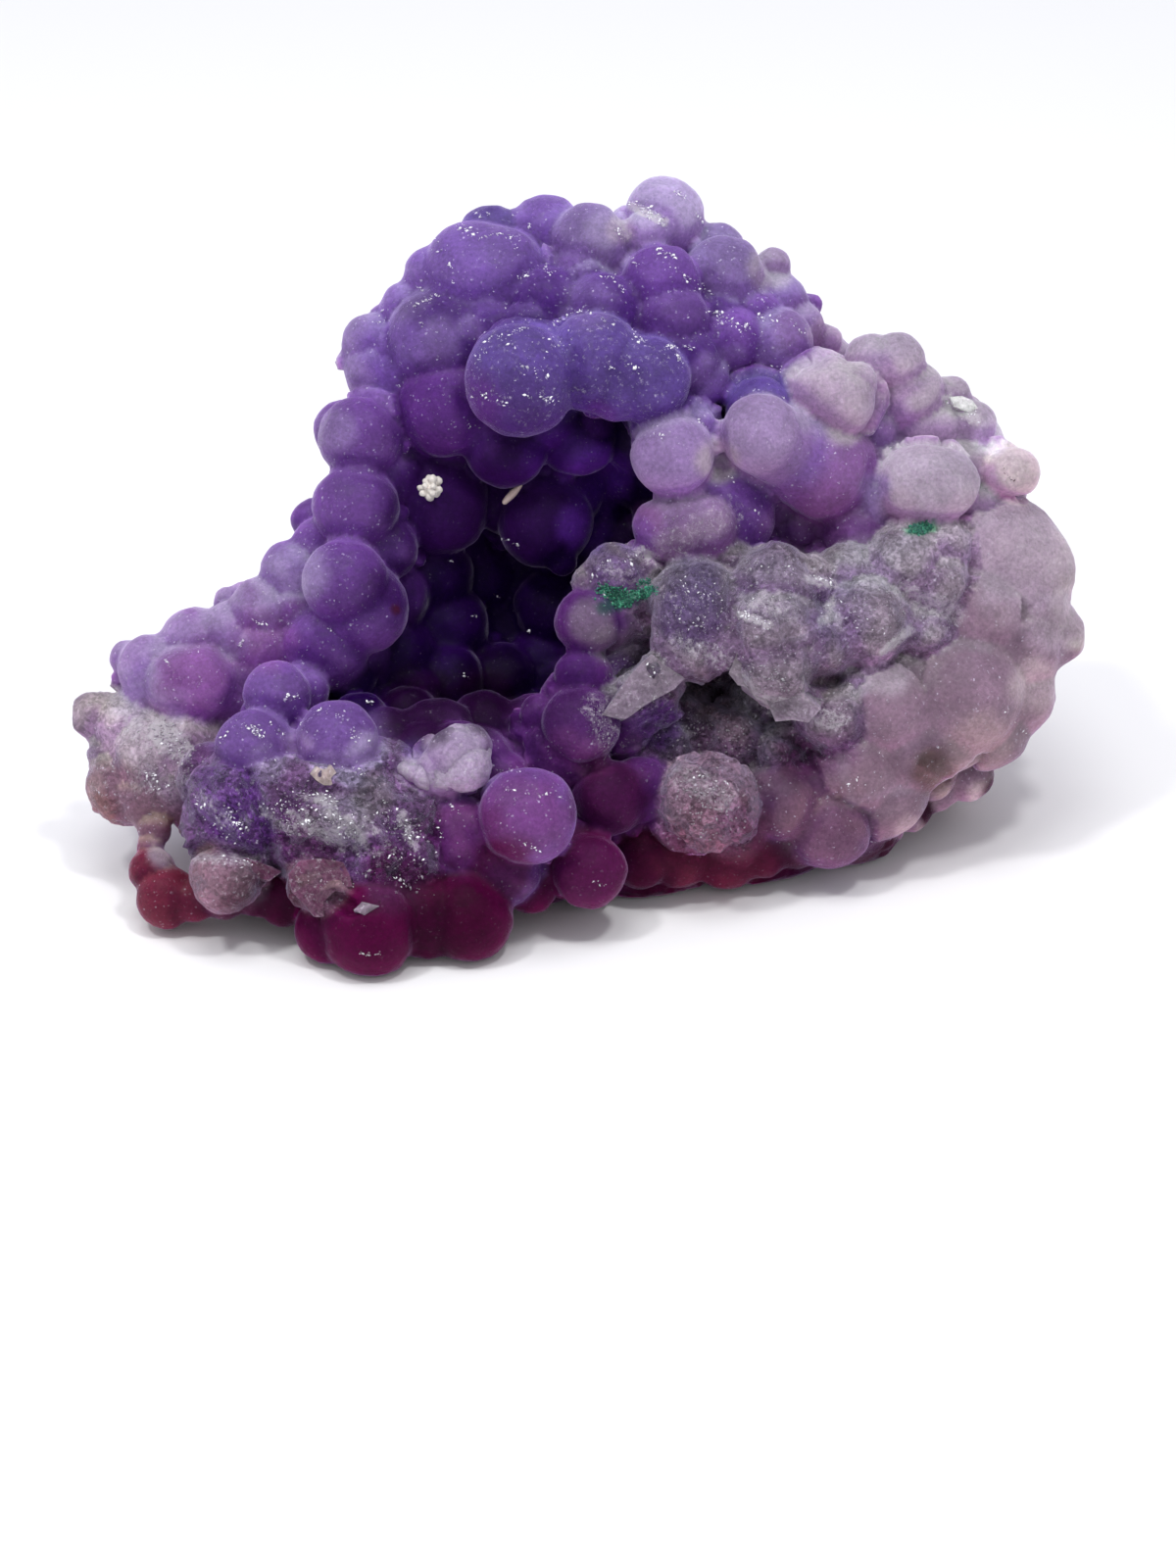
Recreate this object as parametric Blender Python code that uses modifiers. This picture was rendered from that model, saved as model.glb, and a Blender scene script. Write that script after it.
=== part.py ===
"""Botryoidal chalcedony: one grown mass of purple, grape-like lobes round a deep hollow.

The mass grew as one piece, so it is one solid. It has the hood over the hollow, the left wall and
arm, the broken lump in front, the rough right mass and the feet below. A white crumb and a cream
splinter lie in the hollow as loose grains of their own. The stone is cut off flat below, where it
was broken from its bed, and it rests on that cut at z = 0, with the origin in the middle of it.

Lobes are given as they are seen on the display face: across and up in millimetres on a plane
through the stone that leans back by FACE_TILT, toward the viewer in front of that plane, and the
lobe's radius. to_world turns them into the stone's own frame.
"""
import math
import random

import bmesh
import bpy
from mathutils import Matrix, Vector

MM = 0.001

# The display face, in degrees and millimetres
FACE_TILT = math.radians(28.0)
FACE_DISTANCE = 222.2
FACE_CENTRE_UP = 10.0
FACE_SHIFT_Y = -5.0
FACE_SHIFT_Z = -4.1

# The surface of the solids
VOXEL = 0.5 * MM
STONE_TRIANGLES = 9300
LOBE_DETAIL = 3
HIDDEN_DETAIL = 2

# Lobes that the display face doesn't show
SKIN_SEED = 7
SKIN_SPACING = 2.5
SKIN_RADIUS = (1.25, 2.3)
SKIN_SHARES = (1.0, 0.75, 0.55)
STEM_STEP = 0.8
STEM_TAPER = 0.92

# Loose grains in the hollow
CRUMB_CENTRE = (-8.04, 25.1, 2.35)
CRUMB_RADIUS = 0.46
SPLINTER_ENDS = ((-4.24, 24.4, 1.05), (-3.47, 25.2, 1.1))
SPLINTER_RADIUS = 0.17

# Each lobe: across, up, toward, radius
LOBES = {
    "hood": (
        (-10.8, 32.2, 0, 2), (-10.7, 31.2, 0.2, 2), (-12.6, 31.7, 0, 0.38), (-10.7, 34, -0.3, 0.45),
        (-7, 35.7, 0.2, 2.55), (-8.9, 33.9, 0.2, 2.1), (-4.6, 35.6, 1.8, 2.45), (-5, 37.2, -0.6, 2.2),
        (-2.2, 37.9, -0.6, 2.15), (0.15, 37.6, 1.1, 1.95), (-2.4, 34.6, 2.4, 1.85), (0.6, 34, 3, 2),
        (3.9, 38.75, -0.4, 2.05), (2.85, 38.1, 1, 1.2), (6.4, 36.9, -1.2, 1.65), (6.6, 35.5, 0.7, 2.05),
        (3.7, 35.1, 2.1, 2.1), (4.2, 33.4, 2.6, 2), (4.7, 31.5, 2.6, 2), (5.6, 30.1, 2, 1.55),
        (-7.6, 32.5, 1.5, 2.5), (-7.3, 29.5, 0.9, 2.4), (-9.6, 30, 0.7, 2.1), (-5, 33.4, 1.6, 1.9),
        (9.3, 36.45, -0.9, 0.95), (9.6, 34.3, -0.9, 1.7), (11.35, 34.4, -1.6, 0.68),
        (10.7, 33.3, -0.6, 1.35), (12.05, 32.6, -1.4, 0.9), (7.4, 32.3, 1.7, 1.6),
        (9.7, 32.3, 1.1, 1.75), (8.2, 33.6, 0.9, 1), (8, 34.9, -0.3, 1.6), (6.6, 33.9, 1.2, 1.2),
    ),
    "rim": (
        (-3.4, 30.6, 5.4, 2.85), (0.3, 31.5, 4.3, 2.6), (1.7, 30.8, 4.3, 2.3), (3, 30.6, 4.2, 2.25),
    ),
    "left_wall": (
        (-11.6, 27.6, 1.7, 2.1), (-12.4, 28, -0.2, 1.55), (-11.9, 24.1, 2.2, 2.15),
        (-13.9, 23.4, -0.6, 1.2), (-14.9, 20.7, 0.9, 1.75), (-12.4, 20.3, 3.4, 2.15),
        (-11.6, 19, 2.2, 2.35), (-13.4, 17, 1.7, 2.2), (-13.6, 22.2, 0.9, 1.5), (-10, 25.6, 0.5, 1.6),
        (-10.4, 22, 0.9, 1.7),
    ),
    "left_arm": (
        (-16.4, 18.6, 0.7, 1.9), (-17.5, 19.55, -0.6, 0.78), (-18.3, 19.2, -0.8, 0.8),
        (-19.9, 16.9, 0.1, 2.05), (-18.2, 17.3, 0.4, 1.9), (-20.7, 15.2, 1.7, 1.85),
        (-19.7, 15.2, 1.9, 1.85), (-22.2, 15.9, 0.6, 1.7), (-22.3, 14.8, 0.9, 1.3),
        (-23.4, 16.4, -0.2, 0.95), (-16.6, 16.8, 1.2, 1.6), (-15, 18.9, 1, 1.5), (-18, 14.6, 0.9, 1.5),
    ),
    "left_tip": (
        (-25.1, 13.5, 0, 1.35), (-23.2, 12.9, 0.4, 1.95), (-21.9, 11.5, 1.4, 2.3),
        (-23.8, 10.4, 0.4, 1.75), (-24, 9.7, 0.6, 1.5), (-22.4, 9.4, 1.4, 1.6), (-20.4, 12.2, 1.7, 1.6),
        (-21.4, 9.8, 1.8, 1.6), (-24.4, 11.6, 0.3, 1.2),
    ),
    "cave": (
        (-4.2, 27.4, 1.3, 2.3), (-0.6, 27.8, 0.2, 2.2), (-2.2, 23.5, -1.4, 2.5),
        (-1.35, 21.5, -1, 0.85), (-7.8, 24.4, -1.4, 2.9), (-8.2, 20.6, -3, 2.4),
        (-5.8, 20.6, -5.5, 2.3), (-7.4, 18, -3.6, 2.4), (-10, 16.4, -1.8, 2.5), (-7.3, 15.2, -2.2, 2.1),
        (-1.7, 19, -4.6, 2.2), (-3.6, 20.4, -6.8, 2.4), (1.3, 25.2, -5.4, 2.7), (1.2, 28, -3, 2.5),
        (-4.4, 15.4, -3.6, 1.9), (-2.4, 16.2, -5, 2), (-11.6, 13.1, 2.8, 1.65), (-9, 27.4, -0.6, 2.2),
        (0.9, 21.6, -5.6, 2.6), (-4.4, 17.8, -6.4, 2.3), (-9.2, 13.4, 0.8, 1.7),
        (-12.2, 15.4, 0.9, 1.5), (3.4, 26.6, -2.6, 2.4),
    ),
    "cave_lip": (
        (-6.6, 11.5, 5.2, 1.8), (-8.4, 11.7, 4.6, 1.65), (-7, 12.5, 3.2, 1.45), (-4.6, 12.1, 2.4, 1.2),
        (-3, 11.3, 2.8, 1.3), (-4.4, 10.2, 4.2, 1.6), (-9.8, 12.4, 2.6, 1.3),
    ),
    "lump_balls": (
        (-15.8, 14.5, 4.5, 1.72), (-14.6, 14.8, 3.2, 1.35), (-17, 11.75, 6, 2.05),
        (-12.8, 12.05, 6.3, 2.15), (-3.1, 8.35, 7.4, 2.45), (-6.6, 7.4, 5.9, 2.1),
        (-4.3, 5.7, 5.6, 1.9),
    ),
    "pale_knot": (
        (-6.7, 11.4, 7.2, 1.6), (-7.4, 10.7, 7, 1.35), (-8.9, 10.6, 6.7, 0.7), (-9.6, 10.7, 6.6, 0.42),
        (-6, 12, 7, 1.1),
    ),
    "lump": (
        (-18.2, 9.2, 6, 2.3), (-16, 9, 6.4, 2.6), (-13.5, 8.7, 6.6, 2.7), (-11.3, 8.2, 6.7, 2.5),
        (-9.3, 7.4, 6.3, 2.3), (-11, 6.1, 7, 1.9), (-9, 5.9, 6.6, 1.6), (-19.3, 7.9, 5.8, 1.5),
        (-10.2, 10.9, 5.8, 1.35), (-17, 7.6, 6.2, 1.9), (-14.4, 6.9, 6.2, 1.9), (-12, 10.2, 6.3, 1.7),
    ),
    "lump_shards": (
        (-18.5, 5.2, 6.9, 1.85), (-16.9, 5.4, 6.7, 0.6), (-14, 4.95, 7.6, 1.45), (-13, 4.3, 8, 1.15),
    ),
    "foot": (
        (-11.2, 2.75, 7.2, 2.6), (-13.1, 2.65, 6.3, 1.9), (-6.2, 3.3, 6.1, 2.4), (-8.2, 3.4, 5.9, 2.4),
        (-3, 4.9, 4.2, 1.6), (0, 5.62, 5.2, 1.98), (-18.6, 4.7, 4.4, 1.65), (-16.8, 4.9, 4.6, 1.7),
        (-15.4, 4.5, 4.8, 1.8),
    ),
    "hanging": (
        (-22.25, 5.55, 3.4, 1.25), (-21.5, 4.25, 3.8, 1.62), (-20.1, 4.1, 4.2, 1.2),
        (-22.35, 6.85, 2.8, 0.75), (-22.1, 7.7, 2.4, 0.95), (-22.3, 8.5, 1.8, 1.15),
    ),
    "under_right": (
        (4.5, 6.7, 0.8, 2.1), (7, 6.7, 0.2, 2.1), (8.7, 7.1, 0.4, 1.95), (2.7, 6.6, 1.6, 1.95),
        (10.4, 7.6, -0.2, 2), (14.7, 7.6, -2.2, 1.15), (16.4, 8.6, -2.6, 1.15), (17.7, 9.7, -2.8, 1.15),
        (19.3, 10.6, -2.9, 1.5),
    ),
    "mid_balls": (
        (1.1, 9.3, 4, 2), (2.6, 9.7, 3.2, 1.8), (-0.4, 13, 4.6, 2.1), (-0.2, 15.4, 3.7, 1.6),
        (-2.4, 13.5, 3.5, 1.2), (0, 18.3, 3.9, 1.75), (12.2, 8, 0.8, 2.35), (9.8, 9.1, 1.9, 2),
        (11.2, 9.8, 1.2, 1.7),
    ),
    "right_balls": (
        (4.35, 26.75, 4, 2.17), (5.5, 28.1, 3.4, 1.15), (9, 27.95, 3.6, 2.2), (8.6, 29, 1.4, 2),
        (12.4, 30.3, 2.9, 1.95), (13.2, 29.6, 3, 1.72), (15.7, 31.45, 1, 1.62), (14.5, 31.4, 0.8, 1.6),
        (16.4, 29.9, 0.3, 1.85), (18.3, 29.55, -0.7, 1.4), (19.4, 28.2, -0.6, 1.5),
        (17.4, 28, -0.2, 1.7), (17.1, 25.1, 2, 2.4), (17.6, 24.7, 1.9, 2.4), (21.5, 26.05, -0.7, 1.43),
        (19.4, 26.6, -1.2, 1.6), (12.2, 26, 1.4, 2.65), (10.4, 26.9, 2.6, 1.7), (4.6, 23, 2.9, 2.15),
        (6.1, 23.4, 3, 1.7), (7.9, 22.8, 1.5, 1.95), (7.2, 24.9, 1.2, 1.7), (10.5, 23.2, -0.4, 1.5),
        (13.6, 23.3, 0.2, 1.7), (14.9, 25.2, 0.2, 1.6), (15.9, 27.2, -0.9, 1.5), (14.2, 28, 0.2, 1.7),
    ),
    "right_rough": (
        (1.3, 20.8, 3.6, 1.5), (0.2, 20.3, 3.6, 0.9), (2.4, 19.6, 3.3, 1.1), (5.5, 19.1, 4, 2.35),
        (9.5, 20.1, 3.9, 2.1), (9.3, 18, 4.4, 2.3), (9.6, 16.2, 4.2, 2.1), (11.7, 17.3, 3.4, 1.9),
        (14.1, 18.4, 2.6, 2.3), (13.2, 20.7, 2.2, 1.5), (16.2, 21.3, 2.2, 1.9), (17.7, 20.3, 1.8, 1.8),
        (18, 21.9, 1.5, 1.6), (11.3, 20.2, 3, 1.5), (5.2, 17.2, 3.9, 1.95), (7.1, 17.4, 4.1, 1.6),
        (11, 14.8, 3.2, 1.2), (12.5, 13.4, 2.4, 1.9), (13.4, 15.2, 2.2, 1.1), (7.3, 21.2, 2.9, 1.2),
    ),
    "right_grey": (
        (2.7, 14.3, 2, 1.6), (4.3, 13.7, 1, 1.7), (5.4, 12.9, 0.8, 1.6), (7.2, 12.6, 1.2, 1.8),
        (8.3, 13.6, 0.4, 1.5), (4, 12, 2, 1.5), (3.2, 13.3, 1.4, 1.2), (5.9, 9.1, 3.8, 2.45),
        (6.4, 9, 3.6, 2.3), (10, 11.6, 1.4, 1.6), (5.4, 14, -0.6, 1.4),
    ),
    "slab": (
        (3.3, 15.7, 4.6, 0.95), (2.3, 14.9, 4.7, 0.9), (1.3, 14.3, 4.6, 0.8), (4.1, 15.4, 4.4, 0.65),
    ),
    "right_pale": (
        (21.4, 21.3, -1.2, 3), (22.6, 20.9, -1.2, 2.15), (20.4, 22.3, -0.4, 2.4),
        (24, 17.6, -1.6, 1.36), (15.2, 13.8, 2, 2.2), (19.1, 14.6, 0.6, 3), (21.8, 17.2, -0.8, 2.35),
        (22.2, 14.4, -1.2, 1.62), (20.7, 12.5, -1, 1.55), (15.2, 9.3, 0.2, 1.95),
        (13.6, 10.8, 1.4, 2.2), (16.2, 11.8, 0.8, 2.2), (19.9, 18.7, 0.2, 2.3), (22.3, 19, -0.8, 1.95),
        (17.9, 12.6, 0.4, 2), (22.2, 23, -1.8, 1.25),
    ),
}

# Large hidden swellings that the lobes grow from: across, up, toward, radius
CORES = (
    (-2.5, 32.6, -2.8, 5.8), (3.8, 32, -3.2, 5.1), (-6.6, 31, -2.6, 4.5), (8.6, 31.6, -3, 3.5),
    (0.5, 35, -2.6, 3.3), (-9.6, 31.2, -2.4, 2.6), (-4, 27, -7, 5.6), (2.4, 27, -8.2, 5.2),
    (-8.6, 26, -4.8, 4.2), (-9.8, 22.2, -4.4, 3.8), (-2.6, 21.5, -11.4, 4.6), (-7.2, 20.5, -8.6, 4.8),
    (2.6, 22, -10.6, 4.8), (7.2, 25.4, -5.6, 5.4), (12.4, 25.4, -4.6, 5.2), (14.6, 28.4, -3.6, 3.4),
    (17.4, 26.4, -4.6, 4), (8.2, 19.6, -4.4, 5.4), (13.8, 19.4, -4.4, 5.8), (18.2, 20.2, -4.4, 5.4),
    (20.4, 17.4, -3.8, 3.7), (16.2, 14.4, -4.4, 5.2), (19.4, 14.2, -3.4, 3.2), (10, 13.6, -5, 5.4),
    (4, 14.2, -6.4, 5.2), (-1.6, 14.6, -8.8, 5), (-6.6, 14.4, -7.4, 4.8), (-11.6, 14.2, -4.4, 4.9),
    (-10.4, 8.2, 0.6, 5.4), (-16.6, 8.8, 0.8, 4.2), (-4.2, 8.2, -0.6, 5.2), (2.4, 8.4, -2.2, 5),
    (8.4, 8.8, -2.8, 4.4), (12.8, 9.2, -3, 3.5), (-15.4, 15.2, -2.6, 3.6), (-18.6, 14, -1.6, 3.1),
    (-21.8, 12, -1.2, 2.4), (-12.2, 18.6, -3, 3.5), (6, 10, -8, 6), (-4, 10, -6, 5.6),
    (12, 12, -8, 5.4), (-11, 10, -4, 5.4),
)


def to_world(lobe):
    """Centre and radius in metres of a lobe given on the display face."""
    across, up, toward, radius = lobe
    nearness = (FACE_DISTANCE - toward) / FACE_DISTANCE
    x = across * nearness
    rise = FACE_CENTRE_UP + (up - FACE_CENTRE_UP) * nearness
    y = rise * math.sin(FACE_TILT) - toward * math.cos(FACE_TILT) + FACE_SHIFT_Y
    z = rise * math.cos(FACE_TILT) + toward * math.sin(FACE_TILT) + FACE_SHIFT_Z
    return Vector((x, y, z)) * MM, radius * nearness * MM


def face_lobes():
    return [lobe for rows in LOBES.values() for lobe in rows]


def rooted_lobes():
    """The lobes that grow from the swellings; the hanging ones hold on to each other."""
    return [lobe for group, rows in LOBES.items() if group != "hanging" for lobe in rows]


def reach(lobe, across, up):
    """How far toward the viewer a lobe comes at a place on the face, or None beside it."""
    left = lobe[3] ** 2 - (lobe[0] - across) ** 2 - (lobe[1] - up) ** 2
    return lobe[2] + math.sqrt(left) if left > 0.0 else None


def face_front(lobes, across, up):
    heights = [reach(lobe, across, up) for lobe in lobes]
    heights = [height for height in heights if height is not None]
    return max(heights) if heights else None


def is_behind(lobes, across, up, radius, checks=10):
    """Whether a disc on the face is covered by the lobes that show there."""
    for i in range(checks):
        turn = math.tau * i / checks
        rim = (across + radius * math.cos(turn), up + radius * math.sin(turn))
        if face_front(lobes, *rim) is None:
            return False
    return True


def spiral(count, start):
    """Evenly spread directions, wound round a sphere by the golden angle."""
    golden = math.pi * (3.0 - math.sqrt(5.0))
    for i in range(count):
        height = 1.0 - 2.0 * (i + 0.5) / count
        wide = math.sqrt(1.0 - height * height)
        yield Vector((wide * math.cos(i * golden + start), wide * math.sin(i * golden + start), height))


def skin_lobes(lobes):
    """Lobes over the back, the top and the underside, none of which shows beyond the face."""
    draw = random.Random(SKIN_SEED)
    skin = []
    for core in CORES:
        centre = Vector(core[:3])
        count = int(4.0 * math.pi * core[3] ** 2 / (0.8 * SKIN_SPACING ** 2))
        for direction in spiral(count, draw.random() * math.tau):
            radius = draw.uniform(*SKIN_RADIUS)
            place = centre + direction * (core[3] + draw.uniform(-0.45, 0.25))
            others = [c for c in CORES if c is not core]
            if min((place - Vector(c[:3])).length - c[3] for c in others) < -0.35 * radius:
                continue
            front = face_front(lobes, place.x, place.y)
            if front is None or place.z + radius > front - 0.6:
                continue
            fitting = [radius * share for share in SKIN_SHARES
                       if is_behind(lobes, place.x, place.y, radius * share)]
            if not fitting:
                continue
            radius = fitting[0]
            near = [s for s in skin if (place - Vector(s[:3])).length < 0.62 * (radius + s[3])]
            if not near:
                skin.append((place.x, place.y, place.z, radius))
    return skin


def stem_lobes(lobes):
    """Beads that lead from each lobe down to the swelling that it grows from."""
    stems = []
    for lobe in lobes:
        place = Vector(lobe[:3])
        core = min(CORES, key=lambda c: (place - Vector(c[:3])).length - c[3])
        inward = Vector(core[:3]) - place
        free = inward.length - core[3]
        step = STEM_STEP * lobe[3]
        travelled = step
        radius = lobe[3] * STEM_TAPER
        while travelled < free + step:
            bead = place + inward.normalized() * travelled
            stems.append((bead.x, bead.y, bead.z, radius))
            travelled += step
    return stems


def add_ball(mesh, lobe, detail):
    centre, radius = to_world(lobe)
    bmesh.ops.create_icosphere(
        mesh, subdivisions=detail, radius=radius, matrix=Matrix.Translation(centre))


def new_collection(name):
    collection = bpy.data.collections.new(name)
    bpy.context.scene.collection.children.link(collection)
    return collection


def new_object(name, mesh, collection):
    data = bpy.data.meshes.new(name)
    mesh.to_mesh(data)
    mesh.free()
    piece = bpy.data.objects.new(name, data)
    collection.objects.link(piece)
    return piece


def stone_material(name, colour, roughness, subsurface):
    material = bpy.data.materials.new(name)
    material.use_nodes = True
    shader = material.node_tree.nodes["Principled BSDF"]
    shader.inputs["Base Color"].default_value = (*colour, 1.0)
    shader.inputs["Roughness"].default_value = roughness
    shader.inputs["Metallic"].default_value = 0.0
    shader.inputs["Subsurface Weight"].default_value = subsurface
    shader.inputs["Subsurface Scale"].default_value = 1.2 * MM
    return material


def apply_modifiers(piece):
    """Replace the object's mesh by its evaluated one."""
    graph = bpy.context.evaluated_depsgraph_get()
    data = bpy.data.meshes.new_from_object(piece.evaluated_get(graph))
    piece.modifiers.clear()
    piece.data = data


def keep_outer_shell(piece):
    """Drop the closed pockets between the swellings, which are solid stone."""
    mesh = bmesh.new()
    mesh.from_mesh(piece.data)
    left = set(mesh.faces)
    shells = []
    while left:
        front = [left.pop()]
        shell = list(front)
        while front:
            face = front.pop()
            for edge in face.edges:
                for other in edge.link_faces:
                    if other in left:
                        left.remove(other)
                        front.append(other)
                        shell.append(other)
        shells.append(shell)
    shells.sort(key=len)
    inner = [face for shell in shells[:-1] for face in shell]
    bmesh.ops.delete(mesh, geom=inner, context="FACES")
    mesh.to_mesh(piece.data)
    mesh.free()


def make_bed_cutter(collection):
    """Everything below the break, as one block under z = 0."""
    block = bmesh.new()
    bmesh.ops.create_cube(block, size=1.0)
    bmesh.ops.scale(block, verts=block.verts, vec=Vector((120.0, 120.0, 20.0)) * MM)
    bmesh.ops.translate(block, verts=block.verts, vec=Vector((0.0, 0.0, -10.0)) * MM)
    cutter = new_object("bed_cutter", block, collection)
    cutter.hide_render = True
    cutter.display_type = "WIRE"
    return cutter


def make_stone(collection, cutters):
    """The grown mass: every lobe fused into one skin, then broken off flat below."""
    lobes = face_lobes()
    balls = bmesh.new()
    for lobe in lobes:
        add_ball(balls, lobe, LOBE_DETAIL)
    for lobe in [*CORES, *skin_lobes(lobes), *stem_lobes(rooted_lobes())]:
        add_ball(balls, lobe, HIDDEN_DETAIL)
    stone = new_object("chalcedony", balls, collection)
    fuse = stone.modifiers.new("fuse", "REMESH")
    fuse.mode = "VOXEL"
    fuse.voxel_size = VOXEL
    apply_modifiers(stone)
    keep_outer_shell(stone)

    triangles = sum(len(face.vertices) - 2 for face in stone.data.polygons)
    thin = stone.modifiers.new("thin", "DECIMATE")
    thin.ratio = STONE_TRIANGLES / triangles
    thin.use_collapse_triangulate = True
    apply_modifiers(stone)

    cut = stone.modifiers.new("bed", "BOOLEAN")
    cut.operation = "DIFFERENCE"
    cut.solver = "EXACT"
    cut.object = make_bed_cutter(cutters)
    apply_modifiers(stone)
    keep_outer_shell(stone)

    stone.data.shade_smooth()
    stone.data.set_sharp_from_angle(angle=math.radians(40.0))
    stone.data.materials.append(stone_material("purple chalcedony", (0.25, 0.12, 0.42), 0.32, 0.6))
    return stone


def make_crumb(collection):
    """A popcorn-like white grain: knobs round a middle, fused."""
    knobs = bmesh.new()
    across, up, toward = CRUMB_CENTRE
    add_ball(knobs, (across, up, toward, CRUMB_RADIUS), HIDDEN_DETAIL)
    for direction in spiral(9, 0.6):
        place = Vector(CRUMB_CENTRE) + direction * CRUMB_RADIUS * 0.85
        add_ball(knobs, (place.x, place.y, place.z, CRUMB_RADIUS * 0.52), HIDDEN_DETAIL)
    crumb = new_object("white_crumb", knobs, collection)
    fuse = crumb.modifiers.new("fuse", "REMESH")
    fuse.mode = "VOXEL"
    fuse.voxel_size = 0.09 * MM
    thin = crumb.modifiers.new("thin", "DECIMATE")
    thin.ratio = 0.2
    apply_modifiers(crumb)
    crumb.data.shade_smooth()
    crumb.data.materials.append(stone_material("white mineral", (0.84, 0.8, 0.74), 0.7, 0.2))
    return crumb


def make_splinter(collection):
    """A cream sliver, blunt at both ends, that lies against a ball in the hollow."""
    ends = [to_world((*end, SPLINTER_RADIUS))[0] for end in SPLINTER_ENDS]
    run = ends[1] - ends[0]
    sliver = bmesh.new()
    bmesh.ops.create_uvsphere(sliver, u_segments=8, v_segments=6, radius=1.0)
    half = Vector((SPLINTER_RADIUS * MM, SPLINTER_RADIUS * 0.8 * MM, run.length / 2.0))
    bmesh.ops.scale(sliver, verts=sliver.verts, vec=half)
    turn = run.to_track_quat("Z", "X").to_matrix()
    bmesh.ops.rotate(sliver, verts=sliver.verts, matrix=turn)
    bmesh.ops.translate(sliver, verts=sliver.verts, vec=(ends[0] + ends[1]) / 2.0)
    splinter = new_object("cream_splinter", sliver, collection)
    splinter.data.shade_smooth()
    splinter.data.materials.append(stone_material("cream mineral", (0.75, 0.6, 0.42), 0.6, 0.2))
    return splinter


def main():
    for old in list(bpy.data.objects):
        bpy.data.objects.remove(old, do_unlink=True)
    parts = new_collection("botryoidal_chalcedony")
    cutters = new_collection("cutters")
    make_stone(parts, cutters)
    make_crumb(parts)
    make_splinter(parts)


main()
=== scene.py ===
"""Looks of the botryoidal chalcedony: its fine skin, frost, broken faces, glitter and loose grains.

The frame gives the solids. This script grows the same mass again from the same lobes, with a fine
skin in place of the faceted one, and colours it by zone. Lengths are in millimetres until a mesh
is written, which is in metres. Places are given across and up the display face, as in the part's
source.
"""
import math
import random
from contextlib import contextmanager

import bmesh
import bpy
import numpy as np
from mathutils import Matrix, Vector, noise
from mathutils.bvhtree import BVHTree


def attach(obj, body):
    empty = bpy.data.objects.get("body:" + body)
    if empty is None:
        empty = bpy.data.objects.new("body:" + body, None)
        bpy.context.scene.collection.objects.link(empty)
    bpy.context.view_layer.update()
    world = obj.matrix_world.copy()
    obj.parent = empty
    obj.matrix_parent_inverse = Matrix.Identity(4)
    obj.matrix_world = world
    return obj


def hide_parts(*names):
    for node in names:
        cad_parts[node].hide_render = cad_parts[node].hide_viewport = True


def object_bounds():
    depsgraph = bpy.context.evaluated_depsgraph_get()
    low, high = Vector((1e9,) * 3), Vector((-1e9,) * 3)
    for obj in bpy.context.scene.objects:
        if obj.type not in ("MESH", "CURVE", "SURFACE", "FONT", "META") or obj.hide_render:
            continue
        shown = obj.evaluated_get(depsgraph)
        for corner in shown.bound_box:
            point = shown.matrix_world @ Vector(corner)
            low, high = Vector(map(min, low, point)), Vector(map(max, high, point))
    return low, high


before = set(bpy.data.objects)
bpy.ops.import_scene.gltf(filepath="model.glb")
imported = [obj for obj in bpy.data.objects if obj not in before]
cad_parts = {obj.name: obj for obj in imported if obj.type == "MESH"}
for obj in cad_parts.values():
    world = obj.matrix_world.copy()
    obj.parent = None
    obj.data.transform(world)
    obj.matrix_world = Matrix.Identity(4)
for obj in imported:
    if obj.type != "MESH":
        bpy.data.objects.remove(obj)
CAD_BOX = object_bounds()

MM = 0.001

# The display face, in degrees and millimetres, as in the part's source
FACE_TILT = math.radians(28.0)
FACE_DISTANCE = 222.2
FACE_CENTRE_UP = 10.0
FACE_SHIFT_Y = -5.0
FACE_SHIFT_Z = -4.1

# The camera stands at the face's own distance, so that the face fills the frame as in the photo
LENS = 100.0
SENSOR = 36.0

# From the middle of the face to the viewer, and up along the face
VIEW = np.array((0.0, -math.cos(FACE_TILT), math.sin(FACE_TILT)))
FACE_UP = np.array((0.0, math.sin(FACE_TILT), math.cos(FACE_TILT)))

# Lobes that the display face doesn't show
SKIN_SEED = 7
SKIN_SPACING = 2.5
SKIN_RADIUS = (1.25, 2.3)
SKIN_SHARES = (1.0, 0.75, 0.55)
SKIN_STANDOFF = (-0.45, 0.25)
SKIN_DEPTH_BEHIND = 0.6
SKIN_SUNK = 0.35
SKIN_OVERLAP = 0.62
STEM_STEP = 0.8
STEM_TAPER = 0.92

# Fine skin: size of the fusing voxels, faces wanted, roundness of each ball, balls that act at a point
VOXEL = 0.24
SKIN_TRIANGLES = 194000
SKIN_DETAIL = 3
NEAREST = 14
CHUNK = 8192
BLEND = 0.08
SEAM_BLEND = 0.25

# How points come to rest on the fused skin: rounds, longest step, and easing after each time
SETTLE_ROUNDS = 2
SETTLE_STEP = 0.15
EASING = (0.5, 0.5, 0.3)

# Surfaces that look away from the viewer by more than this are drawn with fewer faces
AWAY = -0.15

# From turned away to facing the viewer, as the share of the skin's direction along the view
FACING = (-0.35, 0.1)

# Where lobes meet: how deep the groove goes, and how much of red, green and blue it loses as painted shade
# in the groove
SEAM_DEPTH = 0.06
SEAM_PAINTED_SHADE = np.array((0.25, 0.4, 0.15))
SEAM_LEAN = (0.008, 0.09)

# The lower lobe's edge at a groove is lighter and frosted on its upper side: a painted highlight
CREST_HIGHLIGHT = np.array((0.35, 0.5, 0.3))
CREST_FROST_HIGHLIGHT = 0.15

# Deep purple stone is darker than this; paler stone has softer crests and less gleam
PURPLE = (0.14, 0.26)
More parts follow.
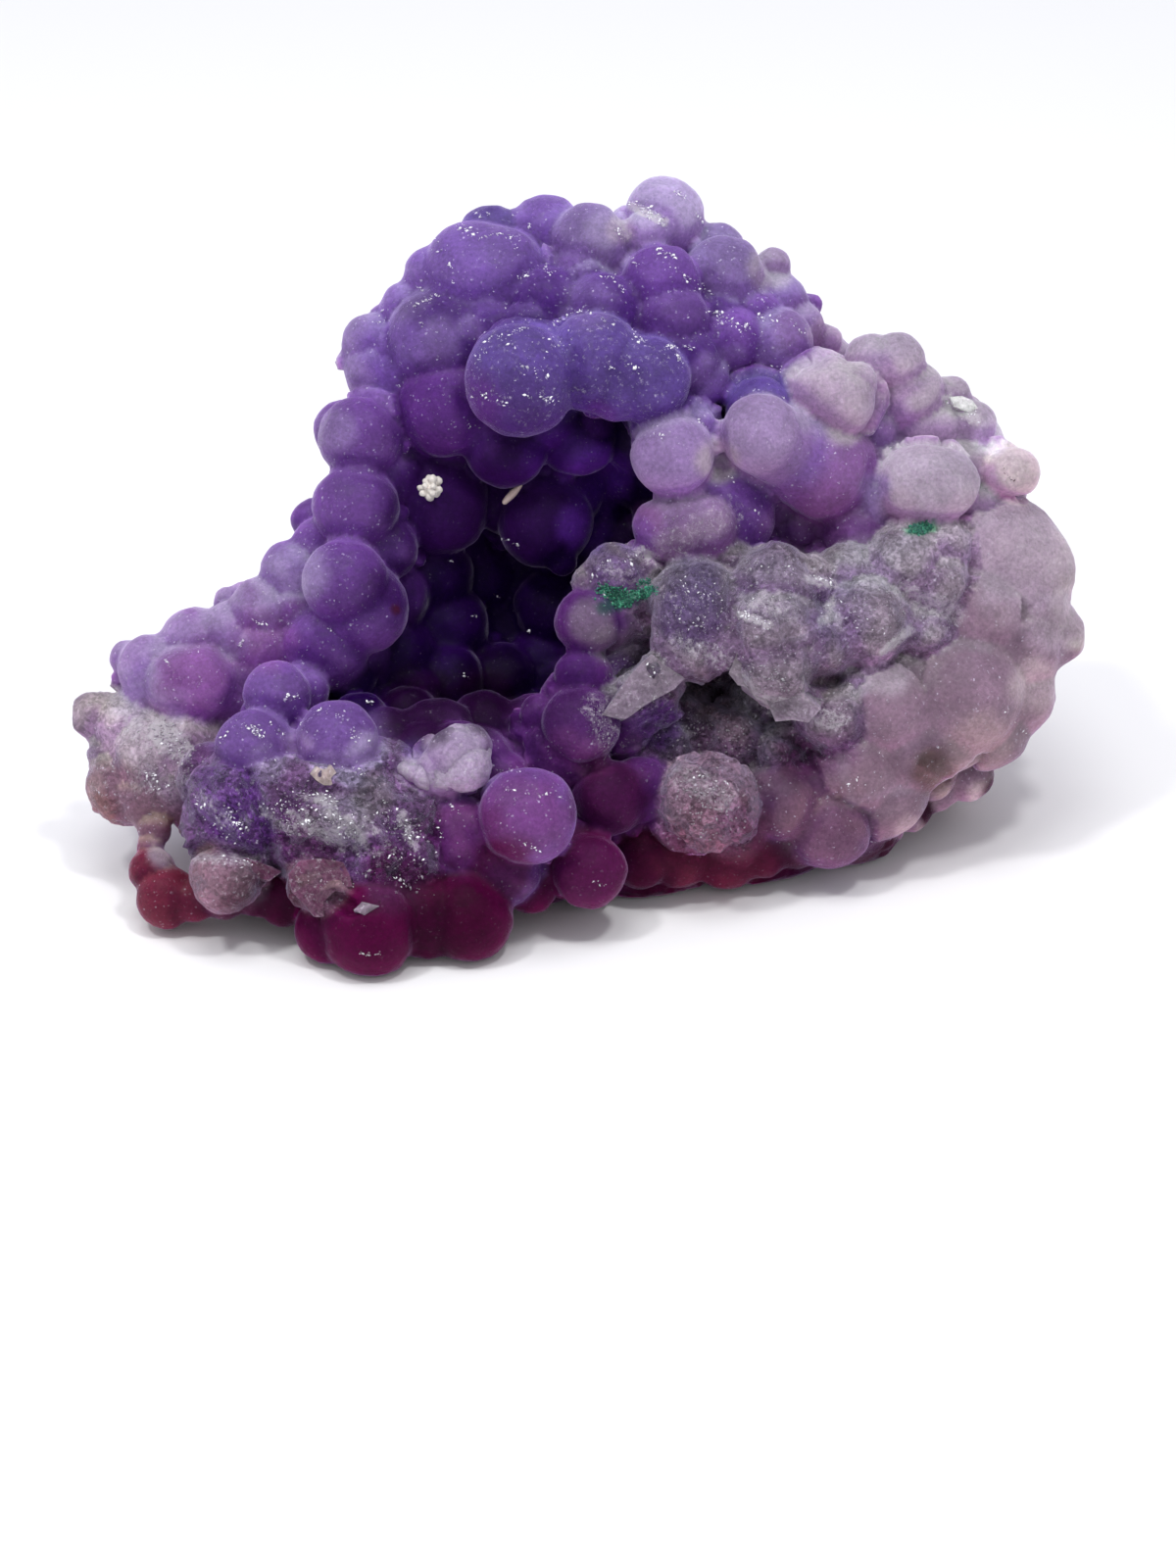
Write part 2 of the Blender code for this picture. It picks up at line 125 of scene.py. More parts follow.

# Each ball's own shade, and how much darker growth is that borrows the looks of the shown lobes near it: a
# painted shade in the gaps between them
SHADE_SEED = 11
SHADES = (0.82, 1.16)
GAP_PAINTED_SHADE = 0.88
BORROW_REACH = (1.5, 3.5)

# Painted rim light: how much lighter the stone gets where it curves away from the viewer at the top
RIM_PAINTED_LIGHT = 0.4

LIGHTNESS = np.array((0.2126, 0.7152, 0.0722))

# Where the stone faces up and down, from the skin's rise, and the painted light on its tone: darker and
# cooler on top, lighter and warmer underneath
UPWARD = (0.1, 1.0)
DOWNWARD = (0.15, -0.9)
TOP_PAINTED_SHADE = np.array((0.82, 0.83, 0.86))
UNDER_PAINTED_LIGHT = np.array((1.5, 1.25, 1.35))

# The edges of washes and streaks, as shares of their width, and how far those edges waver
WASH_EDGE = (0.55, 1.1)
WASH_WAVER = 0.12
STREAK_EDGE = (0.35, 1.15)
STREAK_WAVER = (0.25, 0.2)

# Relief, each as its height, size, octaves and offset: low swells and a fine unevenness
SWELL = (0.1, 2.2, 2, 0.0)
UNEVENNESS = (0.03, 0.7, 2, 5.7)
WAVER_HEIGHT = 0.02

# Rough stone: from which granularity, its small broken planes by size and slope, its tooth
ROUGH_FROM = 0.25
ROUGH_GROWTH = (0.2, 0.8)
FACETS = ((1.9, 0.22), (0.8, 0.14))
TOOTH = (0.13, 0.6, 2, 7.3)
PEBBLY_FROM = 0.05
PEBBLE_SIZE = 0.75
PEBBLE_HEIGHT = 0.32

# Two loose grains in the hollow, as in the part's source
CRUMB_CENTRE = (-8.04, 25.1, 2.35)
CRUMB_RADIUS = 0.36
CRUMB_BALLS = 15
SPLINTER_ENDS = ((-4.24, 24.4, 1.05), (-3.47, 25.2, 1.1))
SPLINTER_RADIUS = 0.17
SPLINTER_BALLS = 9
CRUMB_COLOUR = (226, 220, 212)
SPLINTER_COLOUR = (206, 184, 176)
GRAIN_SHADE = 0.8

# Every draw of random numbers has its own seed
SUGAR_SEED = 3
CRUMB_SEED = 4
GREEN_SEED = 5
SPECK_SEED = 6
DRUSE_SEED = 8
FLAKE_SEED = 9

# Flakes: how deep their sides go, and how their faces are split, shifted and kept sharp
FLAKE_ROOT = 0.7
FLAKE_LEVELLING = 0.8
CRACK_CUTS = 3
CRACK_SIZE = 0.45
CRACK_SHIFT = 0.025
CRACK_ANGLE = 0.6

# Display colours of the frost, the painted glints and the sheen
FROST_COLOUR = (190, 184, 191)
PAINTED_GLINT_COLOUR = (226, 222, 240)
SHEEN_COLOUR = (214, 204, 240)

# Lines of sight run from and to here, toward the viewer, so that they cross the whole stone
SIGHT = (30.0, -20.0)

# The size range of sugary glints and of green crystals, the glints' paleness and crest share
SUGAR_LOOK = (0.04, 0.15, 1.0)
GLINT_LOOK = (0.03, 0.09, 0.9, 0.03)
GREEN_SIZES = (0.05, 0.16)

# The studio, in metres: floor, dome and lamps, each with its place and size
FLOOR_SIZE = 1.5
FLOOR_GAP = 0.0002
FLOOR_COLOUR = (0.86, 0.86, 0.87)
DOME_TOP = (-0.1, 0.59, 0.8)
DOME_LOW = (0.66, 0.64, 0.66)
DOME_HIGH = (0.93, 0.95, 1.0)
DOME_POWER = 0.85
LAMP_TARGET = (0.0, 0.002, 0.013)
LAMP_POWER = 0.25
LAMPS = (
    ("key", (-0.03, -0.05, 0.33), 0.14),
    ("spark", (0.07, -0.09, 0.30), 0.04),
    ("spark_left", (-0.12, -0.09, 0.28), 0.04),
)

# Each lobe: across, up, toward, radius
LOBES = {
    "hood": (
        (-10.9, 32.3, 0, 1.75), (-10.8, 31.1, 0.2, 1.75), (-12.6, 31.7, 0, 0.38), (-10.7, 34, -0.3, 0.45),
        (-5.8, 36, 0.9, 2.75), (-7.5, 35.6, 0.2, 2), (-4.6, 35.9, 1.1, 2.6), (-4.8, 37.6, -0.8, 1.95),
        (-2.2, 37.9, -0.8, 2.15), (-9, 34.1, 0.1, 1.7), (-7.5, 32.5, 1.3, 2.85), (-9.4, 30.9, 0.3, 2.1),
        (-7.1, 29.3, 1.6, 2.65), (-4.9, 33.2, 1.5, 2.2), (-2.2, 34.4, 2, 2.1), (0.1, 37.6, 0.9, 2.05),
        (-0.35, 36.6, 1.3, 1.4), (0.75, 34.1, 2.6, 2.05), (3.9, 38.9, -0.5, 2.1), (2.95, 38.15, 1, 1.2),
        (6.5, 37.1, -1.2, 1.6), (6.9, 35.9, 0.4, 2.1), (3.75, 35.4, 1.9, 2.15), (4.3, 33.5, 2.5, 2.05),
        (4.9, 31.7, 2.6, 1.9), (5.8, 30.6, 2.1, 1.5), (9.35, 36.35, -0.9, 1), (9.6, 34.4, -0.9, 1.75),
        (11.35, 34.4, -1.6, 0.68), (10.7, 33.3, -0.6, 1.4), (12.05, 32.6, -1.4, 0.95),
        (7.3, 32.7, 1.6, 1.7), (9.7, 32.5, 1, 1.85), (8.6, 34, 0.7, 1.3), (8, 34.9, -0.3, 1.7),
        (6.6, 33.9, 1.2, 1.4),
    ),
    "rim": (
        (-3.4, 30.6, 5.4, 2.85), (0.3, 31.5, 4.3, 2.6), (1.7, 30.8, 4.3, 2.3), (3, 30.6, 4.2, 2.25),
    ),
    "left_wall": (
        (-11.6, 27.6, 1.7, 2.1), (-12.4, 28, -0.2, 1.55), (-11.9, 24.1, 2.2, 2.15),
        (-13.9, 23.4, -0.6, 1.2), (-14.9, 20.7, 0.9, 1.75), (-12.4, 20.3, 3.4, 2.15),
        (-11.6, 19, 2.2, 2.35), (-13.4, 17, 1.7, 2.2), (-13.6, 22.2, 0.9, 1.5), (-10, 25.6, 0.5, 1.6),
        (-10.4, 22, 0.9, 1.7),
    ),
    "left_arm": (
        (-16.4, 18.6, 0.7, 1.9), (-17.5, 19.55, -0.6, 0.78), (-18.3, 19.2, -0.8, 0.8),
        (-19.9, 16.9, 0.1, 2.05), (-18.2, 17.3, 0.4, 1.9), (-20.7, 15.2, 1.7, 1.85),
        (-19.7, 15.2, 1.9, 1.85), (-22.2, 15.9, 0.6, 1.7), (-22.3, 14.8, 0.9, 1.3),
        (-23.4, 16.4, -0.2, 0.95), (-16.6, 16.8, 1.2, 1.6), (-15, 18.9, 1, 1.5), (-18, 14.6, 0.9, 1.5),
    ),
    "left_tip": (
        (-25.1, 13.5, 0, 1.35), (-23.2, 12.9, 0.4, 1.95), (-21.9, 11.5, 1.4, 2.3), (-23.8, 10.4, 0.4, 1.75),
        (-24, 9.7, 0.6, 1.5), (-22.4, 9.4, 1.4, 1.6), (-20.4, 12.2, 1.7, 1.6), (-21.4, 9.8, 1.8, 1.6),
        (-24.4, 11.6, 0.3, 1.2), (-23.7, 9.1, 0.8, 1.3),
    ),
    "cave": (
        (-4.2, 27.4, 1.3, 2.3), (-0.6, 27.8, 0.2, 2.2), (-2.2, 23.5, -1.4, 2.5), (-1.35, 21.5, -1, 0.85),
        (-7.8, 24.4, -1.4, 2.9), (-8.2, 20.6, -3, 2.4), (-5.8, 20.6, -5.5, 2.3), (-7.4, 18, -3.6, 2.4),
        (-10, 16.4, -1.8, 2.5), (-7.3, 15.2, -2.2, 2.1), (-1.7, 19, -4.6, 2.2), (-3.6, 20.4, -6.8, 2.4),
        (1.3, 25.2, -5.4, 2.7), (1.2, 28, -3, 2.5), (-4.4, 15.4, -3.6, 1.9), (-2.4, 16.2, -5, 2),
        (-11.6, 13.1, 2.8, 1.65), (-9, 27.4, -0.6, 2.2), (0.9, 21.6, -5.6, 2.6), (-4.4, 17.8, -6.4, 2.3),
        (-9.2, 13.4, 0.8, 1.7), (-12.2, 15.4, 0.9, 1.5), (3.4, 26.6, -2.6, 2.4),
    ),
    "cave_lip": (
        (-6.6, 11.5, 5.2, 1.8), (-8.4, 11.7, 4.6, 1.65), (-7, 12.5, 3.2, 1.45), (-4.6, 12.1, 2.4, 1.2),
        (-3, 11.3, 2.8, 1.3), (-4.4, 10.2, 4.2, 1.6), (-9.8, 12.4, 2.6, 1.3),
    ),
    "lump_balls": (
        (-15.8, 14.5, 4.5, 1.72), (-14.6, 14.8, 3.2, 1.35), (-17, 11.75, 6, 2.05),
        (-12.8, 12.05, 6.3, 2.15), (-3.1, 8.35, 7.4, 2.45), (-6.6, 7.4, 5.9, 2.1), (-4.3, 5.7, 5.6, 1.9),
    ),
    "pale_knot": (
        (-6.7, 11.4, 7.2, 1.6), (-7.4, 10.7, 7, 1.35), (-8.9, 10.6, 6.7, 0.7), (-9.6, 10.7, 6.6, 0.42),
        (-6, 12, 7, 1.1),
    ),
    "lump": (
        (-18.2, 9.2, 6, 2.3), (-16, 9, 6.4, 2.6), (-13.5, 8.7, 6.6, 2.7), (-11.3, 8.2, 6.7, 2.5),
        (-9.3, 7.4, 6.3, 2.3), (-11, 6.1, 7, 1.9), (-9, 5.9, 6.6, 1.6), (-19.3, 7.9, 5.8, 1.5),
        (-10.2, 10.9, 5.8, 1.35), (-17, 7.6, 6.2, 1.9), (-14.4, 6.9, 6.2, 1.9), (-12, 10.2, 6.3, 1.7),
    ),
    "lump_shards": (
        (-18.5, 5.2, 6.9, 1.85), (-16.9, 5.4, 6.7, 0.6), (-14, 4.95, 7.6, 1.45), (-13, 4.3, 8, 1.15),
    ),
    "foot": (
        (-11.2, 2.75, 7.2, 2.6), (-13.1, 2.65, 6.3, 1.9), (-6.2, 3.3, 6.1, 2.4), (-8.2, 3.4, 5.9, 2.4),
        (-3, 4.9, 4.2, 1.6), (0, 5.62, 5.2, 1.98), (-18.6, 4.7, 4.4, 1.65), (-16.8, 4.9, 4.6, 1.7),
        (-15.4, 4.5, 4.8, 1.8),
    ),
    "hanging": (
        (-22.25, 5.55, 3.4, 1.25), (-21.5, 4.25, 3.8, 1.62), (-20.1, 4.1, 4.2, 1.2),
        (-22.35, 6.85, 2.8, 0.75), (-22.1, 7.7, 2.4, 0.95), (-22.3, 8.5, 1.8, 1.15),
    ),
    "under_right": (
        (4.5, 6.7, 0.8, 2.1), (7, 6.7, 0.2, 2.1), (8.7, 7.1, 0.4, 1.95), (2.7, 6.6, 1.6, 1.95),
        (10.4, 7.6, -0.2, 2), (14.7, 7.6, -2.2, 1.15), (16.4, 8.6, -2.6, 1.15), (17.7, 9.7, -2.8, 1.15),
        (19.3, 10.6, -2.9, 1.5),
    ),
    "mid_balls": (
        (1.1, 9.3, 4, 2), (2.6, 9.7, 3.2, 1.8), (-0.4, 13, 4.6, 2.1), (-0.2, 15.4, 3.7, 1.6),
        (-2.4, 13.5, 3.5, 1.2), (0, 18.3, 3.9, 1.75), (12.2, 8, 0.8, 2.35), (9.8, 9.1, 1.9, 2),
        (11.2, 9.8, 1.2, 1.7),
    ),
    "right_balls": (
        (4.35, 26.75, 4, 2.17), (5.6, 28.3, 3.2, 1.05), (8.86, 27.8, 3.9, 2.15), (9.7, 27.3, 3, 2.15),
        (10.5, 26.8, 2.2, 2.3), (11.3, 26.4, 1.7, 2.45), (12.1, 26.1, 1.4, 2.7), (12.1, 25.5, 1.3, 2.2),
        (6.9, 26.2, 1.9, 1.4), (8.7, 29.1, 2.3, 1.75), (12.4, 30, 2.9, 1.6), (13.1, 29.6, 2.9, 1.6),
        (13.2, 28.9, 2.9, 1.15), (11.6, 30.2, 2.8, 1.25), (13.6, 30.4, 2.7, 1.2), (12.5, 30.8, 2.6, 1.1),
        (15.7, 31.45, 1, 1.62), (14.5, 31.4, 0.8, 1.6), (16.4, 29.9, 0.3, 1.85), (18.3, 29.55, -0.7, 1.4),
        (19.4, 28.2, -0.6, 1.5), (17.4, 28, -0.2, 1.7), (16.6, 25.3, 2, 1.95), (17.3, 25.35, 2.2, 1.98),
        (18, 25.3, 2, 1.95), (21.4, 25.95, 0.6, 1.35), (21.8, 25.9, 0.5, 1.25), (19.4, 26.6, -1.2, 1.6),
        (20.3, 25.3, -0.9, 1.3), (19.9, 24.2, 0.3, 1.2), (4, 23, 3.2, 1.75), (5, 23.1, 3.4, 1.78),
        (5.9, 23.2, 3.3, 1.75), (6.6, 23.9, 1, 3), (10.9, 23, 0.4, 0.95), (10.3, 23.4, -0.8, 1.6),
        (13.6, 23, 0.6, 1.8), (14.6, 24.7, 1, 1.6), (15.9, 27.2, -0.9, 1.5), (14.2, 28, 0.2, 1.7),
    ),
    "right_rough": (
        (1.3, 20.8, 3.6, 1.5), (0.2, 20.3, 3.6, 0.9), (2.4, 19.6, 3.3, 1.1), (5.5, 19.1, 4, 2.35),
        (9.5, 20.1, 3.9, 2.1), (9.3, 18, 4.4, 2.3), (9.6, 16.2, 4.2, 2.1), (11.7, 17.3, 3.4, 1.9),
        (14.1, 18.4, 2.6, 2.3), (13.2, 20.7, 2.2, 1.5), (16.2, 21.3, 2.2, 1.9), (17.7, 20.3, 1.8, 1.8),
        (18, 21.9, 1.5, 1.6), (11.3, 20.2, 3, 1.5), (5.2, 17.2, 3.9, 1.95), (7.1, 17.4, 4.1, 1.6),
        (11, 14.8, 3.2, 1.2), (12.5, 13.4, 2.4, 1.9), (13.4, 15.2, 2.2, 1.1), (7.3, 21.2, 2.9, 1.2),
        (17, 18, 1.7, 1.5), (14.3, 16.1, 2.1, 1.1),
    ),
    "right_grey": (
        (2.7, 14.3, 2, 1.6), (4.3, 13.7, 1, 1.7), (5.4, 12.9, 0.8, 1.6), (7.2, 12.6, 1.2, 1.8),
        (8.3, 13.6, 0.4, 1.5), (4, 12, 2, 1.5), (3.2, 13.3, 1.4, 1.2), (5.9, 9.1, 3.8, 2.45),
        (6.4, 9, 3.6, 2.3), (10, 11.6, 1.4, 1.6), (5.4, 14, -0.6, 1.4),
    ),
    "slab": (
        (3.3, 15.7, 4.6, 0.95), (2.3, 14.9, 4.7, 0.9), (1.3, 14.3, 4.6, 0.8), (4.1, 15.4, 4.4, 0.65),
    ),
    "right_pale": (
        (21.4, 21.3, -1.2, 3), (22.6, 20.9, -1.2, 2.15), (20.4, 22.3, -0.4, 2.4), (24, 17.6, -1.6, 1.36),
        (15.2, 13.8, 2, 2.2), (19.1, 14.6, 0.6, 3), (21.8, 17.2, -0.8, 2.35), (22.2, 14.4, -1.2, 1.62),
        (20.7, 12.5, -1, 1.55), (15.2, 9.3, 0.2, 1.95), (13.6, 10.8, 1.4, 2.2), (16.2, 11.8, 0.8, 2.2),
        (19.9, 18.7, 0.2, 2.3), (22.3, 19, -0.8, 1.95), (17.9, 12.6, 0.4, 2), (22.2, 23, -1.8, 1.25),
    ),
}

# How much wider than those rows a group's lobes are drawn
SWELLS = {"left_wall": 1.05, "left_arm": 1.08, "right_pale": 0.97, "right_rough": 1.05,
          "rim": 1.02, "lump_balls": 1.04}

# Large hidden swellings that the lobes grow from: across, up, toward, radius
CORES = (
    (-2.5, 32.6, -2.8, 5.8), (3.8, 32, -3.2, 5.1), (-6.6, 31, -2.6, 4.5), (8.6, 31.6, -3, 3.5),
    (0.5, 35, -2.6, 3.3), (-9.6, 31.2, -2.4, 2.6), (-4, 27, -7, 5.6), (2.4, 27, -8.2, 5.2),
    (-8.6, 26, -4.8, 4.2), (-9.8, 22.2, -4.4, 3.8), (-2.6, 21.5, -11.4, 4.6), (-7.2, 20.5, -8.6, 4.8),
    (2.6, 22, -10.6, 4.8), (7.2, 25.4, -5.6, 5.4), (12.4, 25.4, -4.6, 5.2), (14.6, 28.4, -3.6, 3.4),
    (17.4, 26.4, -4.6, 4), (8.2, 19.6, -4.4, 5.4), (13.8, 19.4, -4.4, 5.8), (18.2, 20.2, -4.4, 5.4),
    (20.4, 17.4, -3.8, 3.7), (16.2, 14.4, -4.4, 5.2), (19.4, 14.2, -3.4, 3.2), (10, 13.6, -5, 5.4),
    (4, 14.2, -6.4, 5.2), (-1.6, 14.6, -8.8, 5), (-6.6, 14.4, -7.4, 4.8), (-11.6, 14.2, -4.4, 4.9),
    (-10.4, 8.2, 0.6, 5.4), (-16.6, 8.8, 0.8, 4.2), (-4.2, 8.2, -0.6, 5.2), (2.4, 8.4, -2.2, 5),
    (8.4, 8.8, -2.8, 4.4), (12.8, 9.2, -3, 3.5), (-15.4, 15.2, -2.6, 3.6), (-18.6, 14, -1.6, 3.1),
    (-21.8, 12, -1.2, 2.4), (-12.2, 18.6, -3, 3.5), (6, 10, -8, 6), (-4, 10, -6, 5.6), (12, 12, -8, 5.4),
    (-11, 10, -4, 5.4),
)

# The pale knot, drawn finer than the frame's own lobes
KNOT_BALLS = (
    (-6.6, 12.1, 7.3, 1), (-6.1, 12.3, 7.1, 0.75), (-7, 12.2, 7.2, 0.6), (-6.3, 10.95, 7.4, 1.4),
    (-7.4, 10.6, 7.3, 1.05), (-8.2, 10.4, 7.3, 0.75), (-8.95, 10.6, 7.1, 0.48), (-9.45, 10.82, 7, 0.38),
    (-9.85, 10.85, 6.95, 0.22), (-5.7, 11.6, 7.1, 0.8), (-7.1, 10.3, 7.2, 0.75), (-5.75, 10.5, 7.2, 0.75),
)


def srgb(red, green, blue):
    """A display colour, 0 to 255, as the linear colour that shaders take."""
    channels = np.array((red, green, blue), dtype=np.float64) / 255.0
    low = channels / 12.92
    high = ((channels + 0.055) / 1.055) ** 2.4
    return np.where(channels <= 0.04045, low, high)


# Stone tones by name, as display colours. The cave tones are partly the stone's own indigo and partly
# painted shade of the hollow; the cave glow is painted light in it
TONES = {name: srgb(*channels) for name, channels in {
    "violet": (100, 64, 136), "blue violet": (78, 57, 120), "grey violet": (128, 108, 154),
    "dome violet": (112, 82, 152), "dusk violet": (80, 46, 118), "lilac": (142, 118, 162),
    "misty lilac": (136, 117, 150), "plum lilac": (120, 84, 134), "dusty purple": (124, 96, 136),
    "dusk purple": (108, 80, 124), "rough mauve": (92, 66, 84), "flake lilac": (120, 106, 122),
    "speck black": (34, 24, 26), "pale cream": (190, 174, 176), "glass dusk": (66, 52, 92),
    "cave plum shade": (26, 1, 34), "gap mauve": (84, 48, 92), "shard pink": (148, 114, 132),
    "magenta plum": (72, 26, 62), "mist": (214, 202, 220), "plate mauve": (138, 124, 138),
    "ball mauve": (136, 108, 128), "dark rust": (70, 20, 34), "cave painted glow": (92, 40, 150),
    "cave ink shade": (12, 0, 22), "orchid": (156, 112, 178), "light violet": (128, 106, 158),
    "deep purple": (82, 38, 114), "grey lilac": (160, 146, 180), "wall purple": (100, 62, 132),
    "mauve": (120, 84, 138), "pale mauve": (138, 122, 132), "brown mauve": (138, 112, 114),
    "cave indigo shade": (28, 2, 58), "cave purple shade": (52, 16, 80), "lip purple": (76, 34, 94),
    "ball purple": (106, 74, 138), "magenta purple": (108, 54, 114), "nub white": (168, 148, 178),
    "broken purple": (100, 68, 110), "shell pink": (122, 88, 102), "plum": (74, 2, 50),
    "dark plum": (54, 1, 34), "red plum": (106, 32, 56), "pale lilac": (160, 148, 162),
    "bright lilac": (178, 164, 174), "rough lilac": (116, 102, 116), "rough grey": (100, 90, 102),
    "soft pink": (132, 108, 125), "arm pink": (130, 78, 142), "magenta deep": (92, 36, 92),
    "rust": (120, 60, 48), "umber": (84, 58, 54), "bone": (222, 214, 204), "ball ash": (164, 157, 157),
    "sand mauve": (146, 128, 128), "chalk": (168, 162, 172), "chalk mauve": (144, 128, 142),
    "cream": (178, 156, 156), "lilac veil": (124, 110, 138), "rough violet": (92, 72, 114),
    "flake grey": (116, 100, 116), "pale blush": (168, 152, 166), "lilac ball": (128, 102, 152),
    "stone grey": (128, 98, 118), "flake pink": (96, 54, 80), "flake white": (216, 210, 216),
    "bright green": (66, 138, 104), "glass": (250, 250, 255), "deep teal": (14, 66, 62),
    "bright teal": (60, 150, 116),
}.items()}

# Each group of lobes: tone, granularity, frost, how softly its lobes melt together, pebbliness
GROUP_LOOKS = {
    "hood": ("violet", 0.1, 0, 0.08, 0), "rim": ("blue violet", 0.15, 0.25, 0.04, 0),
    "left_wall": ("wall purple", 0.05, 0.05, 0.08, 0), "left_arm": ("mauve", 0.1, 0.1, 0.1, 0),
    # the cave's indigo is partly painted shade of the hollow
    "left_tip": ("pale mauve", 0.42, 0.3, 0.15, 0), "cave": ("cave indigo shade", 0, 0, 0.05, 0),
    "cave_lip": ("lip purple", 0.1, 0, 0.06, 0), "lump_balls": ("ball purple", 0.08, 0.05, 0.04, 0),
    "pale_knot": ("nub white", 0.2, 0.3, 0.03, 0), "lump": ("broken purple", 0.75, 0.25, 0.25, 0),
    # the plum of the foot, the red plum of the hanging lobes and the dark plum under the right are partly
    # the stone's own colour, partly a painted reddish light from below
    "lump_shards": ("shell pink", 0.45, 0.3, 0.06, 0), "foot": ("plum", 0, 0, 0.05, 0),
    "hanging": ("red plum", 0, 0, 0.08, 0), "under_right": ("dark plum", 0.1, 0, 0.08, 0),
    "mid_balls": ("lip purple", 0.15, 0, 0.05, 0), "right_balls": ("pale lilac", 0.05, 0, 0.05, 0),
    "right_rough": ("rough lilac", 0.5, 0.3, 0.12, 0.12), "right_grey": ("rough grey", 0.7, 0.2, 0.1, 0.8),
    "slab": ("rough grey", 0.6, 0.25, 0.08, 0), "right_pale": ("soft pink", 0.15, 0.12, 0.35, 0.03),
}

BACK_LOOK = ("violet", 0.15, 0.1, 0.15, 0.0)
CORE_LOOK = ("deep purple", 0.4, 0.05, 0.3, 0.0)
HIDDEN_TONES = ("violet", "soft pink", "plum")

# Where hidden growth turns pink to the right and plum below, in the stone's own frame; the plum below is
# partly the stone's colour and partly a painted reddish light from underneath
HIDDEN_RIGHT = (11.0, 19.0)
HIDDEN_BELOW = (8.0, 2.0)
HIDDEN_PLUM_UNDERLIGHT = 0.7

# Lobes whose tone differs from their group's: their places in the group, by tone
LOBE_TONES = {
    "hood": {
        "grey violet": (0, 1), "dome violet": (4, 5, 6, 8, 9, 11, 25), "blue violet": (7,),
        "dusk violet": (10, 13, 14, 17, 24, 35), "deep purple": (12,),
        "light violet": (15, 16, 20, 21, 27, 32, 34), "grey lilac": (2, 18, 19, 29), "pale lilac": (30,),
        "violet": (31,),
    },
    "right_balls": {
        "lilac": (0, 8, 37), "light violet": (1,), "misty lilac": (2, 3), "lilac ball": (4, 5, 39),
        "plum lilac": (6, 7, 36), "blue violet": (9,), "dusty purple": (30, 31, 32), "wall purple": (33,),
        "dusk purple": (34, 35), "pale cream": (25, 26),
    },
    "right_grey": {
        "ball mauve": (7, 8),
    },
}

